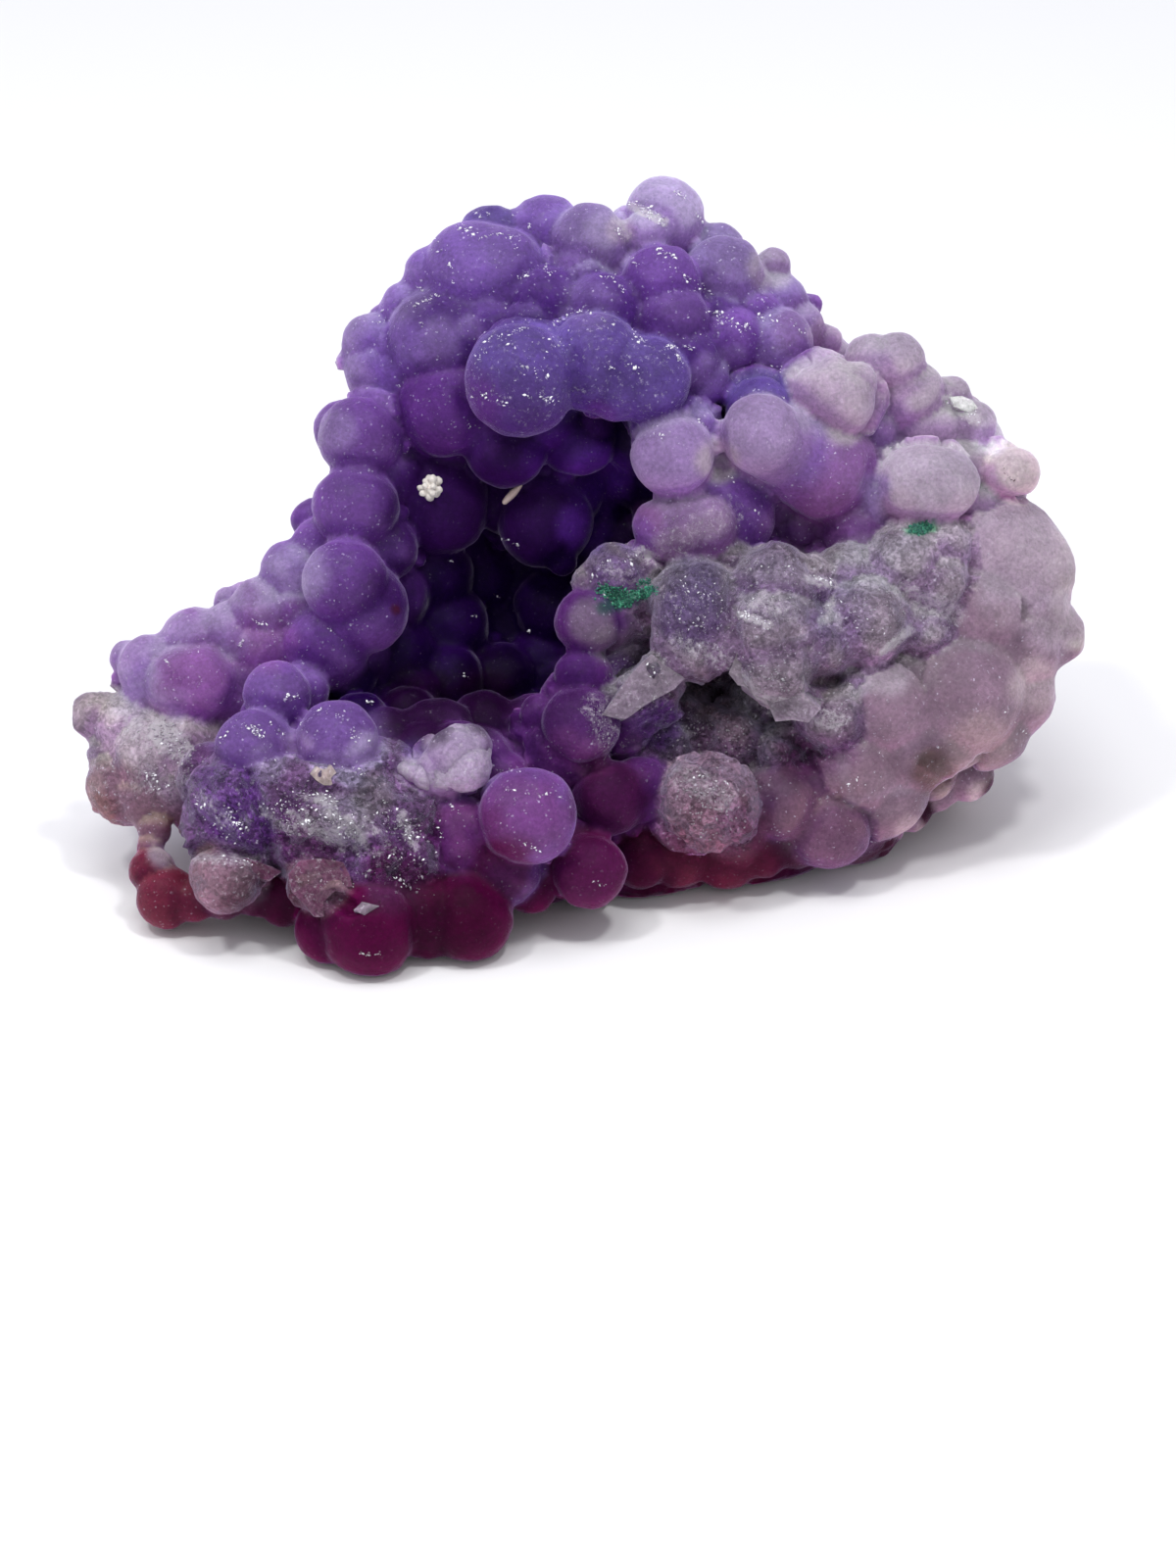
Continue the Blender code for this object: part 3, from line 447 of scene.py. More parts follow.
# Washes of colour on the shown side, one over another: across, up, reach, tone, strength
WASHES = (
    (24.2, 20.6, 1.3, "bone", 0.3), (23.9, 22.1, 1.2, "bone", 0.35), (18, 17.3, 0.9, "pale lilac", 0.45),
    (16.7, 16.8, 0.8, "pale lilac", 0.4), (18.6, 22.2, 1.2, "mist", 0.3),
    (20.1, 19.8, 1.1, "shell pink", 0.3), (24.9, 17.7, 1.1, "bone", 0.55), (24.3, 19.3, 1, "bone", 0.35),
    # painted light: the bone wash at 18.3, 9 lightens the shade under the stone's bottom
    (18.3, 9, 0.9, "bone", 0.45), (21.6, 26, 1.2, "ball ash", 0.5), (19.4, 10.2, 1.1, "pale cream", 0.5),
    (16.4, 7.7, 0.9, "pale cream", 0.6), (12.2, 32.9, 1, "mist", 0.45), (19.8, 24.1, 1.2, "mist", 0.4),
    # painted light: the ball purple wash at 9.4, 23.1 and the soft pink at -16.9, 5.1 lighten shadowed spots
    (9.4, 23.1, 1, "ball purple", 0.45), (15.8, 28.6, 1.2, "orchid", 0.45),
    (-16.9, 5.1, 0.9, "soft pink", 0.5), (-23.6, 12.2, 1.7, "pale cream", 0.35),
    (-25, 13.6, 1, "pale cream", 0.4), (-23.9, 12.9, 1.2, "mist", 0.6), (-22.6, 11.4, 1, "pale blush", 0.5),
    (19.9, 24.1, 1.1, "pale blush", 0.5), (15.7, 28.4, 1, "lilac", 0.6), (15.3, 24, 0.9, "grey lilac", 0.6),
    (15.7, 30.6, 1.2, "bright lilac", 0.6), (7.6, 35.4, 1, "light violet", 0.6),
    (-4.6, 11.9, 0.9, "lip purple", 0.7), (-22.1, 7.9, 0.8, "umber", 0.4), (12.2, 33, 1, "mist", 0.9),
    (20.6, 27.8, 1.1, "mist", 0.6), (13.1, 28.4, 1.2, "bright lilac", 0.8),
    # painted light: the mauve wash at 9.5, 23.1 lightens a shadowed recess
    (14.7, 25, 1, "grey lilac", 0.7), (9.5, 23.1, 1, "mauve", 0.6), (-21.4, 11.3, 1, "pale cream", 0.5),
    (-25.3, 13.7, 1.1, "pale cream", 0.6), (-8.9, 11.9, 0.7, "ball purple", 0.9),
    # painted light: the cave glow brightens the hollow's upper right; painted shade: the cave ink darkens
    # its floor
    (0.4, 25.6, 1.9, "cave painted glow", 0.9), (-1.6, 26.6, 2, "cave painted glow", 0.5),
    (-0.2, 23.2, 1.6, "cave painted glow", 0.8), (-5, 15.2, 2.4, "cave ink shade", 0.7),
    (-1.2, 11.6, 1.5, "magenta purple", 0.5), (0.2, 11.2, 1.3, "magenta purple", 0.7),
    (3.1, 12.2, 0.9, "rough mauve", 0.6), (3, 23.4, 1, "magenta purple", 0.5),
    (8.6, 11.5, 1.2, "rough lilac", 0.7), (10.4, 11.7, 1, "rough mauve", 0.6),
    (-21, 14.1, 1, "grey lilac", 0.8), (-19.6, 14.1, 1.1, "orchid", 0.6),
    # the grey lilac washes along the arm's top edge are partly its paler colour, partly a painted rim light
    (-18, 17.2, 0.9, "grey lilac", 0.6), (-16.4, 18.7, 0.9, "grey lilac", 0.7),
    (-15, 20.2, 0.9, "grey lilac", 0.7), (-24.1, 12.6, 1.2, "pale cream", 0.7),
    (-9.6, 26.6, 1.5, "wall purple", 0.8), (-10.5, 20.2, 0.9, "mauve", 0.7),
    (-7.6, 32.4, 1.6, "light violet", 0.5), (-6, 33.3, 0.8, "light violet", 0.6),
    (0, 34.6, 1.7, "light violet", 0.35), (7.4, 31.6, 0.9, "light violet", 0.6),
    (0.6, 28.6, 1, "deep purple", 0.6), (10.6, 24, 1.6, "plum lilac", 0.6),
    (15.8, 24.2, 1.1, "pale blush", 0.8), (19.4, 24, 1.3, "pale blush", 0.8),
    (22.8, 22.5, 1.4, "pale cream", 0.6), (22.8, 15, 1.6, "pale cream", 0.5),
    # painted light: the bright lilac at -17.1, 4.7 lightens a shard's self-shadow
    (19.2, 9.4, 1, "pale cream", 0.8), (-17.1, 4.7, 0.9, "bright lilac", 0.8),
    (-14.2, 7, 1.2, "rough lilac", 0.8), (1, 17.2, 1.1, "rough grey", 0.7),
    (13.8, 15.4, 1, "pale lilac", 0.8), (16.4, 21.6, 1.5, "chalk", 0.5),
    (17.2, 18.6, 1.3, "pale lilac", 0.5), (17, 15.8, 1.4, "pale mauve", 0.5),
    (10.6, 20.6, 1.3, "chalk mauve", 0.6), (11.4, 13.9, 1.5, "chalk mauve", 0.8),
    # painted shade: the dark plum at 4.3, 13.9 darkens under the slab
    (7.4, 14.9, 1.5, "rough grey", 0.6), (4.3, 13.9, 1, "dark plum", 0.5), (-14.9, 11.9, 1, "lilac", 0.8),
    (-10.9, 9.4, 1.2, "rough lilac", 0.8), (-12.1, 10.7, 1, "grey lilac", 0.6),
    # cave purple: partly painted shade in the hollow
    (-18.2, 4.9, 2, "shard pink", 0.7), (-4.5, 26, 5.4, "cave purple shade", 0.6),
    (-10, 32.4, 2, "dome violet", 0.7), (-9.8, 35.2, 2, "grey violet", 0.4),
    (1.3, 37, 1, "grey lilac", 0.6), (6.2, 30.9, 1.2, "light violet", 0.7),
    # painted light: the bright lilac at 6.6, 26.5 lightens a shadowed spot
    (6.6, 26.5, 1.3, "bright lilac", 0.8), (14.1, 21.1, 1.8, "chalk", 0.6),
    (18.5, 22.3, 1.2, "pale blush", 0.7), (24.7, 18.4, 1.3, "pale cream", 0.8),
    # painted light: the pale mauve at -17.4, 4.9 lightens the same shard's shadow
    (-17.4, 4.9, 1, "pale mauve", 0.7), (-22.6, 14.9, 1.5, "grey lilac", 0.6),
    (-11.2, 11.7, 1.2, "grey lilac", 0.8), (12.2, 32.9, 1, "bright lilac", 0.8),
    # the grey lilac washes along the arm's top edge are partly its paler colour, partly a painted rim light
    (18.5, 9.6, 1.2, "sand mauve", 0.8), (-18.6, 19, 1.8, "grey lilac", 0.4),
    (-16, 20.4, 1.6, "grey lilac", 0.4), (-21.4, 17.8, 1.6, "grey lilac", 0.4),
    # cave purple: partly painted shade in the hollow
    (-0.6, 16, 1.3, "cave purple shade", 0.5), (2.4, 22.7, 1.2, "wall purple", 0.6),
    (0.6, 21.4, 1, "rough violet", 0.4), (2.6, 17.2, 1.2, "rough lilac", 0.8),
    (1, 38.2, 1.4, "grey lilac", 0.6), (12.8, 30.4, 2.1, "bright lilac", 0.6),
    (12, 24, 1.9, "magenta purple", 0.4), (-19.9, 11, 1.3, "gap mauve", 0.9),
    (-13.4, 10.9, 0.9, "grey lilac", 0.45), (-16.4, 11, 1.2, "grey lilac", 0.35),
    # cave purple: partly painted shade in the hollow
    (-9.6, 20.2, 1.7, "cave purple shade", 0.8), (-14, 16.9, 1.2, "deep purple", 0.7),
    (-23.6, 16.4, 1.8, "grey lilac", 0.4), (-26, 12.6, 1.5, "chalk mauve", 0.7),
    (5.3, 20.1, 2, "glass dusk", 0.7), (4.1, 20.5, 1.2, "rough grey", 0.5),
    (15.3, 15.6, 1.3, "bright lilac", 0.8), (-21.6, 6.6, 1, "chalk mauve", 0.8),
    # painted shade: cave plum darkens the hollow's lip below the knot
    (-8.6, 13.9, 2.4, "cave plum shade", 0.9), (-5.2, 14.2, 1.9, "cave plum shade", 0.9),
    (9.8, 9, 2.5, "rough mauve", 0.85), (0.2, 18.3, 1.4, "rough lilac", 0.6),
    (-19, 8.6, 1.9, "broken purple", 0.6), (-10, 5.6, 1.8, "magenta deep", 0.8),
    (1.6, 38.2, 0.9, "bright lilac", 0.5), (9.3, 36.4, 1.4, "pale lilac", 0.7),
    (-12.9, 28, 1.3, "grey lilac", 0.3), (-7.2, 29, 3.2, "deep purple", 0.85),
    (11.4, 33.2, 2.2, "mauve", 0.5), (-12.4, 20, 2.6, "deep purple", 0.3),
    (-14.8, 20.8, 1.9, "grey lilac", 0.45), (-20.2, 15.2, 2.2, "arm pink", 0.7),
    (-16.6, 17.4, 2, "arm pink", 0.5), (-24.4, 9.2, 2.4, "brown mauve", 0.9),
    (-24.9, 8.6, 1.2, "rust", 0.4), (-22.4, 8.2, 1.6, "brown mauve", 0.8),
    # cave purple: partly painted shade in the hollow
    (-8, 24.4, 3.2, "cave purple shade", 0.9), (-10.2, 19.6, 2, "cave purple shade", 0.5),
    (-9.8, 18.9, 0.3, "dark rust", 0.8), (-18.4, 9.4, 2.2, "wall purple", 0.6),
    (-17.6, 7.6, 2, "deep purple", 0.6), (-3.2, 8.4, 2.9, "magenta purple", 0.8),
    (-6.4, 7.4, 2.6, "magenta deep", 0.9), (-9.8, 4.9, 1.9, "magenta plum", 0.8),
    (-14.4, 7.2, 1.9, "magenta deep", 0.6), (1.2, 9.3, 2.6, "dark plum", 0.75),
    (0, 5.6, 2.4, "magenta deep", 0.3), (-4.3, 5.6, 2.1, "plum", 0.8), (-7, 3.2, 3, "dark plum", 0.8),
    (-16.6, 3.9, 2.6, "dark plum", 0.8), (17.4, 29.4, 3, "bright lilac", 0.35),
    (17.2, 25, 2.9, "bright lilac", 0.15), (9.2, 20, 2.4, "lilac veil", 0.45),
    (1.6, 20.4, 1.6, "wall purple", 0.5), (5.2, 18.6, 2, "rough violet", 0.7),
    # painted shade: the dark plum at 6.2, 14.6 darkens the recess under the slab
    (12.9, 18.7, 2, "rough violet", 0.6), (6.2, 14.6, 1.5, "dark plum", 0.6),
    (3.6, 13, 1.6, "deep purple", 0.7), (11.8, 12.2, 2.4, "magenta deep", 0.5),
    # painted shade: the dark plum at 10.9, 11 darkens under the overhang
    (10.9, 11, 1.4, "dark plum", 0.4), (12.2, 7.9, 2.8, "shell pink", 0.6),
    (6.6, 6.4, 3.4, "red plum", 0.5), (15, 9.4, 2.6, "shell pink", 0.3), (12.1, 15.3, 1, "umber", 0.3),
    (17.7, 10.7, 1.4, "umber", 0.75), (20, 12, 2, "sand mauve", 0.6), (21.8, 21.6, 3.4, "pale blush", 0.85),
    (23.8, 18.4, 2, "pale blush", 0.6), (17.3, 20.7, 1.8, "pale blush", 0.4),
    (15, 9.4, 1.8, "pale blush", 0.1), (5.9, 9, 2.3, "stone grey", 0.5), (7, 12.5, 1.7, "stone grey", 0.5),
    (9.3, 19.5, 1, "pale blush", 0.3), (14, 18.3, 1.8, "pale blush", 0.3),
    (-22.4, 12.4, 2, "pale blush", 0.55), (-12.6, 8.1, 1.7, "chalk", 0.5),
    (7.6, 8, 1.2, "magenta deep", 0.35),
)

# Streaks of one tone: from across, up to across, up, width, tone, strength
STREAKS = (
    (11.3, 20.5, 12.5, 20.2, 0.3, "chalk", 0.6), (12, 19.8, 12.5, 18.8, 0.2, "chalk", 0.45),
    (12.5, 18.8, 11.5, 17.9, 0.2, "chalk", 0.45), (11.5, 17.9, 10.5, 17.3, 0.2, "chalk", 0.45),
    (16, 19.9, 18.8, 19, 0.5, "chalk", 0.35), (14.8, 21, 15.6, 20, 0.5, "chalk", 0.35),
    (16.5, 17.9, 15.1, 16.7, 0.22, "chalk", 0.5), (16.5, 17.9, 17.8, 17.3, 0.22, "chalk", 0.4),
    (7.3, 16, 9.2, 14.1, 0.5, "chalk mauve", 0.7), (9.2, 14.1, 12.6, 12.9, 0.6, "chalk mauve", 0.7),
    (12.6, 14.2, 13.9, 15.9, 0.4, "chalk mauve", 0.6), (13.9, 15.9, 16.2, 15.6, 0.4, "chalk mauve", 0.5),
    (16.4, 16.6, 17.6, 17.4, 0.35, "chalk mauve", 0.5), (17.6, 17.4, 20.4, 17, 0.4, "chalk mauve", 0.5),
    (12.9, 11.4, 13.4, 9.2, 0.3, "chalk mauve", 0.35), (13.4, 9.1, 16.4, 9.8, 0.35, "chalk mauve", 0.35),
    (4, 22, 6.4, 23.4, 0.8, "chalk mauve", 0.35), (21.2, 18.6, 24.6, 18, 0.9, "pale mauve", 0.5),
    (18.8, 10.4, 22.6, 13.2, 1.2, "sand mauve", 0.25), (-15.8, 6.5, -12.6, 6.4, 0.5, "magenta deep", 0.3),
    (0.9, 19, 1.9, 19.4, 0.55, "deep teal", 0.75), (1.9, 19.4, 3.3, 19.9, 0.35, "deep teal", 0.75),
    (16.4, 23, 17.6, 23.2, 0.32, "bright green", 0.7), (-17.4, 10.4, -16.4, 7.4, 0.5, "deep purple", 0.6),
)

# Frosty patches, laid like the streaks: ends, width, strength
FROSTS = (
    (-16.6, 8.6, -15.9, 8.1, 0.35, 0.8), (-15.9, 7.7, -14.9, 7.8, 0.35, 0.8),
    (-15.2, 8.5, -14.2, 7.9, 0.35, 0.9), (-14.4, 8.6, -13.8, 7.7, 0.35, 0.7),
    (-13.9, 7.6, -12.7, 7.1, 0.45, 0.9), (-13.2, 8.6, -12.4, 8.1, 0.4, 1),
    (-12.9, 7.7, -12.2, 8.2, 0.35, 1.1), (-12.2, 7.9, -11.5, 7.2, 0.45, 1),
    (-11.3, 8.2, -10.9, 7.6, 0.3, 0.7), (-11.9, 6.8, -10.7, 6.5, 0.35, 0.6),
    (-10.6, 7.4, -9.9, 6.6, 0.3, 0.6), (-9.6, 8.4, -9.1, 7.6, 0.4, 0.9), (-9.2, 7.4, -8.8, 6.9, 0.35, 0.7),
    (-13.6, 6.9, -12.6, 6.6, 0.3, 0.6), (-14.9, 9.4, -14, 9.2, 0.3, 0.6), (-13.8, 9.3, -13, 9, 0.35, 1.1),
    (0.4, 14, 1.2, 12, 1.2, 0.45), (-18.6, 8.2, -17.6, 8, 0.7, 0.6), (-19.8, 9.4, -19.2, 8.8, 0.5, 0.6),
    (-21.9, 12.7, -20.9, 11.9, 1, 1.1), (-24, 14, -22.8, 12.4, 0.9, 0.6),
    (-22.8, 10.2, -20.8, 10, 1.2, 0.5), (-20.2, 6.3, -17, 6.1, 0.5, 0.7),
    (8.6, 19.4, 10.4, 18.7, 0.9, 0.55), (7.7, 18.7, 9.3, 18.1, 0.25, 1.6), (8.2, 19.1, 8.9, 19.5, 0.3, 0.9),
    (9.2, 18.9, 10.1, 18.9, 0.25, 0.8), (2.6, 21.9, 3.4, 21.4, 0.4, 0.9), (11.3, 20.5, 12.5, 20.2, 0.4, 1),
    (12.4, 19.4, 12.2, 18.4, 0.35, 0.8), (16, 19.9, 18.8, 18.6, 0.8, 0.7),
    (16.5, 17.9, 15.1, 16.7, 0.35, 1), (4.6, 17.2, 6.8, 16.4, 0.8, 0.6), (7.3, 16, 9.2, 14.1, 0.5, 0.8),
    (9.2, 14.1, 12.8, 13.2, 0.8, 0.8), (3.6, 21.9, 7.2, 23.8, 1.3, 0.42), (1, 21, 2.8, 20.2, 0.7, 0.5),
    (18.4, 29.6, 19.8, 28.6, 0.45, 1.2), (1.4, 15.8, 3.8, 14.4, 0.9, 0.4), (5, 10.4, 6.8, 9.4, 1.2, 0.6),
    (1.4, 38.9, 2, 37.9, 0.4, 0.7), (2.2, 39.5, 3.9, 38.7, 0.35, 1.1),
)

# Pressed in, or with a minus sign raised, along the line of sight: ends, width, depth
DENTS = (
    (11.4, 15.4, 12.7, 15.2, 0.5, 0.9), (12.9, 15.5, 13.8, 16.1, 0.3, 0.5), (5.2, 15, 7.1, 14.3, 0.7, 0.6),
    (9.9, 12.5, 12.8, 11.4, 0.5, 0.3), (17.2, 11.2, 18.3, 10.6, 0.5, 0.5),
    (-13, 4.2, -12.1, 3.7, 0.55, 0.7), (-20.2, 6.7, -17, 6.4, 0.4, 0.6),
    (11.3, 20.5, 12.5, 20.2, 0.25, -0.12), (12, 19.8, 12.5, 18.8, 0.22, -0.12),
    (12.5, 18.8, 11.5, 17.9, 0.22, -0.12), (16.5, 17.9, 15.1, 16.7, 0.25, -0.15),
    (13.4, 18.2, 14.8, 17.2, 0.5, 0.3), (-17.3, 10.4, -15.9, 5.7, 0.45, 0.6),
    (-15, 7.2, -11.6, 6.5, 0.5, 0.2), (-11.9, 7.6, -12.2, 5, 0.4, 0.35), (-13, 8.3, -12.1, 7.9, 0.8, -0.35),
    (-14.6, 9.6, -11.3, 9.4, 0.35, 0.3), (-18.8, 9, -18, 7.2, 0.7, -0.35),
    (-10.4, 8.9, -10.2, 6.9, 0.35, 0.3), (-19.8, 8.6, -17.6, 6.6, 0.3, 0.25),
    (-7.9, 9.2, -7.7, 6.2, 0.4, 0.3), (10.2, 21.3, 11.4, 20.9, 0.5, 0.4),
    (9.6, 19.2, 10.4, 16.4, 0.35, 0.3), (7.2, 20, 7.6, 17.6, 0.35, 0.3),
)

# Thin broken flakes: how far they stand out, tone, then corners across and up
FLAKES = (
    (0.5, "flake lilac", 3.2, 16.6, 3.9, 16.1, 4.75, 15.3, 4.3, 14.8, 3, 14.1, 1.7, 13.2, 0.7, 13.5, 1.2,
     14.3, 1.9, 15.3, 2.6, 16.1),
    (0.25, "flake pink", -15.4, 5.4, -14.75, 6.1, -13.6, 6.2, -12.5, 6, -12.2, 5.4, -12, 4.75, -12.75, 4.7,
     -13.5, 4, -13.5, 3.25, -14, 3.25, -15.1, 4.5),
    (0.2, "flake grey", -11.5, 3.95, -10.65, 3.75, -11.4, 3.3, -11.9, 3.45),
    (0.2, "flake grey", -20.9, 7, -20.85, 8.9, -20.4, 9.5, -20.15, 8.6, -20.3, 6.6, -20.4, 5.6, -20.8, 5.6),
    (0.3, "flake pink", -17.6, 6.2, -16.75, 6, -15.9, 5.5, -16.5, 5, -17.2, 5.4),
    (0.15, "cream", -14.2, 10.5, -13.9, 10.9, -13.5, 10.75, -13.2, 11, -12.9, 10.6, -13.15, 10.3, -13, 9.9,
     -13.5, 9.95, -13.9, 10.2),
    (0.3, "plate mauve", 7.25, 15.9, 7.7, 15.3, 8.1, 15, 8.6, 14.4, 9.1, 14.3, 9.7, 13.8, 10.5, 13.7, 11.3,
     13.4, 11.9, 14.1, 11.1, 14.7, 11, 15.6, 10.2, 16.5, 8.9, 16.9, 7.6, 16.7),
    (0.3, "flake white", 18.4, 29.7, 19, 29.75, 19.5, 29.5, 20.1, 28.9, 19.2, 29, 18.6, 29.2),
)

# Broken crystal ground: ends, width, count, smallest, largest, paleness
DRUSES = (
    (-19.6, 9.6, -17.4, 7, 1.5, 50, 0.03, 0.14, 0.5), (-16.4, 8.2, -12.8, 7.3, 0.6, 160, 0.025, 0.12, 1),
    (-12.8, 8.1, -11.6, 7.3, 0.6, 160, 0.03, 0.13, 1), (0.2, 14, 1.2, 12, 0.6, 160, 0.02, 0.1, 0.9),
    (-10.2, 8.4, -8.9, 7.6, 0.7, 110, 0.025, 0.12, 0.9), (-12, 6.2, -8.2, 5, 1, 60, 0.04, 0.18, 0.8),
    (-22, 12.9, -20.4, 11.2, 0.9, 260, 0.025, 0.14, 1),
    (-24.2, 12.6, -21.2, 9.9, 1.5, 100, 0.025, 0.13, 0.5), (1.2, 21, 6.4, 18.6, 1.7, 220, 0.02, 0.1, 0.8),
    (7, 19.6, 12.6, 18.8, 1.8, 300, 0.02, 0.1, 0.9), (13, 20, 18, 18.6, 1.6, 220, 0.02, 0.1, 0.9),
    (7.3, 16.4, 12.8, 13.6, 0.7, 260, 0.02, 0.12, 1), (5.2, 9.7, 6.6, 8.4, 1.7, 240, 0.03, 0.13, 0.9),
    (4.5, 13.2, 8.4, 11.8, 1.2, 220, 0.03, 0.13, 0.7), (1.8, 16, 3.2, 14.2, 0.9, 90, 0.02, 0.1, 0.8),
    (3.4, 23, 6.4, 23.4, 0.9, 100, 0.02, 0.09, 0.8),
)

# How far crystals run from the stone's own tone to white; on the sugary crystals the near white is a painted
# glint
PALENESS = (0.1, 0.3, 0.5, 1.0, 1.0)

# Clusters of tiny sugar-like crystals, whose near-white tones are painted glints: ends, width, count
SUGAR = (
    (-6.6, 38.5, -5.7, 38, 0.3, 26), (-5.9, 39.2, -4.9, 39, 0.2, 12), (-5.6, 37.8, -4.6, 38.1, 0.15, 14),
    (-4.6, 38.1, -3.2, 37.7, 0.15, 18), (-7.9, 37.8, -7.5, 37.2, 0.2, 10),
    (-3.8, 37.6, -3.6, 36.9, 0.12, 6), (-7.1, 36.6, -6.9, 36.2, 0.08, 6), (-7, 35.8, -6.8, 35.5, 0.12, 6),
    (-2.2, 36.4, -1.8, 36, 0.2, 16), (-3.7, 35.7, -3.1, 36, 0.12, 9), (0.6, 35.9, 1.3, 35.8, 0.12, 10),
    (1.4, 35.6, 1.9, 35.1, 0.15, 10), (-9.2, 34.3, -7.5, 35, 0.2, 34), (-8.7, 33.6, -8.4, 33.3, 0.2, 6),
    (-8.7, 35.4, -8.4, 35.2, 0.15, 5), (-11, 33.5, -10, 33.6, 0.15, 9), (-10.8, 34.3, -10.4, 34, 0.2, 7),
    (2, 39.7, 3, 39.4, 0.22, 26), (2.8, 39.3, 3.9, 38.6, 0.3, 60), (4.4, 40.2, 5, 39.9, 0.2, 20),
    (5.4, 39.2, 6, 38.5, 0.15, 10), (3.6, 37.2, 4.5, 36.8, 0.2, 22), (2.2, 36.9, 2.5, 36.4, 0.15, 8),
    (4.2, 36.4, 6, 35.1, 0.3, 26), (1.4, 38.4, 1.9, 37.7, 0.2, 12), (-3.1, 38.7, -2.9, 38.5, 0.15, 6),
    (-1.8, 33.5, -0.4, 34.2, 0.15, 20), (-0.4, 34.2, 1.5, 33.4, 0.15, 18), (2.2, 33, 3, 32.5, 0.2, 24),
    (4, 32.4, 4.6, 32.2, 0.2, 22), (4.5, 32, 4.9, 31.4, 0.2, 18), (5, 32.3, 5.5, 32.2, 0.15, 9),
    (0.6, 31.5, 1.3, 31.2, 0.2, 8), (2.1, 31.4, 2.7, 31.2, 0.2, 7), (-5.9, 31.2, -5, 32.7, 0.2, 20),
    (-5, 32.7, -3, 33.3, 0.15, 22), (-2.4, 33, -1, 31.9, 0.25, 12), (-5.8, 30, -4.2, 29.4, 0.25, 16),
    (-3.2, 29.8, -1.5, 29.5, 0.2, 26), (-4.2, 32.4, -2.2, 31, 0.9, 26), (6.1, 34.1, 8.2, 33.2, 0.4, 56),
    (8.8, 34, 9.5, 33.4, 0.3, 18), (9.4, 31.5, 10.1, 31, 0.2, 8), (10.6, 33.4, 11, 33, 0.2, 6),
    (-6.3, 28.4, -5.6, 28.1, 0.2, 9), (-4.4, 22.6, -3.5, 22.1, 0.15, 12), (-7.2, 21.5, -6.9, 21.3, 0.1, 4),
    (-4.8, 19.7, -4.5, 19.5, 0.12, 4), (-6.1, 18.7, -5.7, 18.5, 0.12, 4), (-3.1, 17.9, -2.8, 17.7, 0.1, 4),
    (-6.4, 15.6, -6.1, 15.4, 0.1, 4), (-17, 18.3, -16.4, 18.1, 0.12, 12),
    (-17.8, 17, -17.5, 17.4, 0.12, 12), (-21.5, 16.3, -21.3, 16, 0.15, 7),
    (-15.6, 14.4, -14.6, 14.4, 0.15, 14), (-17.4, 13, -16.6, 12.5, 0.3, 44),
    (-18.9, 12, -18, 13.2, 0.15, 12), (-16.2, 13.1, -15.4, 12.3, 0.2, 10), (-11.4, 14.2, -11, 14, 0.12, 7),
    (-13.3, 18, -12.9, 17.7, 0.12, 7), (-13.8, 13.9, -12.6, 13.5, 0.3, 14),
    (-12.2, 12.6, -11.4, 12, 0.4, 12), (-18.5, 8.5, -17.6, 7.8, 0.4, 34),
    (-20.1, 9.5, -19.6, 8.6, 0.25, 18), (-16.4, 8.9, -11.6, 7.6, 0.9, 120),
    (-10.6, 8.7, -8.6, 7.4, 0.7, 50), (-15, 9.8, -12.6, 9.2, 0.5, 26), (-13.6, 9.3, -13, 8.9, 0.2, 16),
    (-19.4, 8, -17, 7, 0.7, 30), (-9.9, 5.3, -9.3, 4.8, 0.2, 12), (-10.4, 6.6, -8, 6, 0.6, 26),
    (-7.1, 9, -6.5, 8.4, 0.15, 10), (-7.7, 7.8, -7.3, 7, 0.12, 8), (-3.3, 7, -2.4, 6.6, 0.15, 10),
    (-4.9, 9.8, -2, 9.4, 0.15, 16), (-4.8, 10.7, -3.4, 10.6, 0.1, 9), (-2, 10.2, -1.2, 9.2, 0.12, 7),
    (-11.9, 1.3, -10.6, 1.3, 0.15, 16), (0.2, 5, 1.4, 4.7, 0.12, 8), (-19.8, 6.2, -17, 6, 0.3, 30),
    (-15.2, 5.6, -13.2, 5, 0.4, 14), (-21.6, 12.8, -20.2, 11.2, 0.6, 26), (-22.6, 10.6, -21, 9.9, 0.5, 26),
    (3.4, 28.1, 3.9, 27.6, 0.22, 10), (5.4, 28.7, 6, 28.2, 0.15, 6), (7.6, 18.7, 9.2, 18.1, 0.35, 50),
    (4.6, 20.2, 7, 19.2, 0.7, 30), (4.4, 18.6, 6.2, 18, 0.6, 18), (8.2, 21.2, 11, 20.6, 0.4, 20),
    (11.3, 20.6, 12.6, 20.3, 0.2, 18), (12.6, 19, 15, 17.8, 0.8, 22), (0.4, 21.2, 2.4, 21.4, 0.3, 14),
    (0.1, 20.6, 1, 19.4, 0.4, 12), (1.6, 16.2, 3.8, 15.8, 0.4, 22), (5.4, 10.6, 7.2, 9.6, 0.8, 24),
    (18.4, 29.6, 19.8, 28.7, 0.25, 34), (16.8, 22.9, 18.4, 22.4, 0.4, 12), (12.8, 10.4, 15.6, 9.2, 0.6, 14),
    (21.2, 13.8, 22.6, 12.4, 0.4, 10), (8.6, 24, 9.2, 23, 0.4, 8), (7.2, 25.8, 7.7, 25.1, 0.15, 8),
    (-13.3, 11, -11.2, 10.6, 0.3, 16),
)

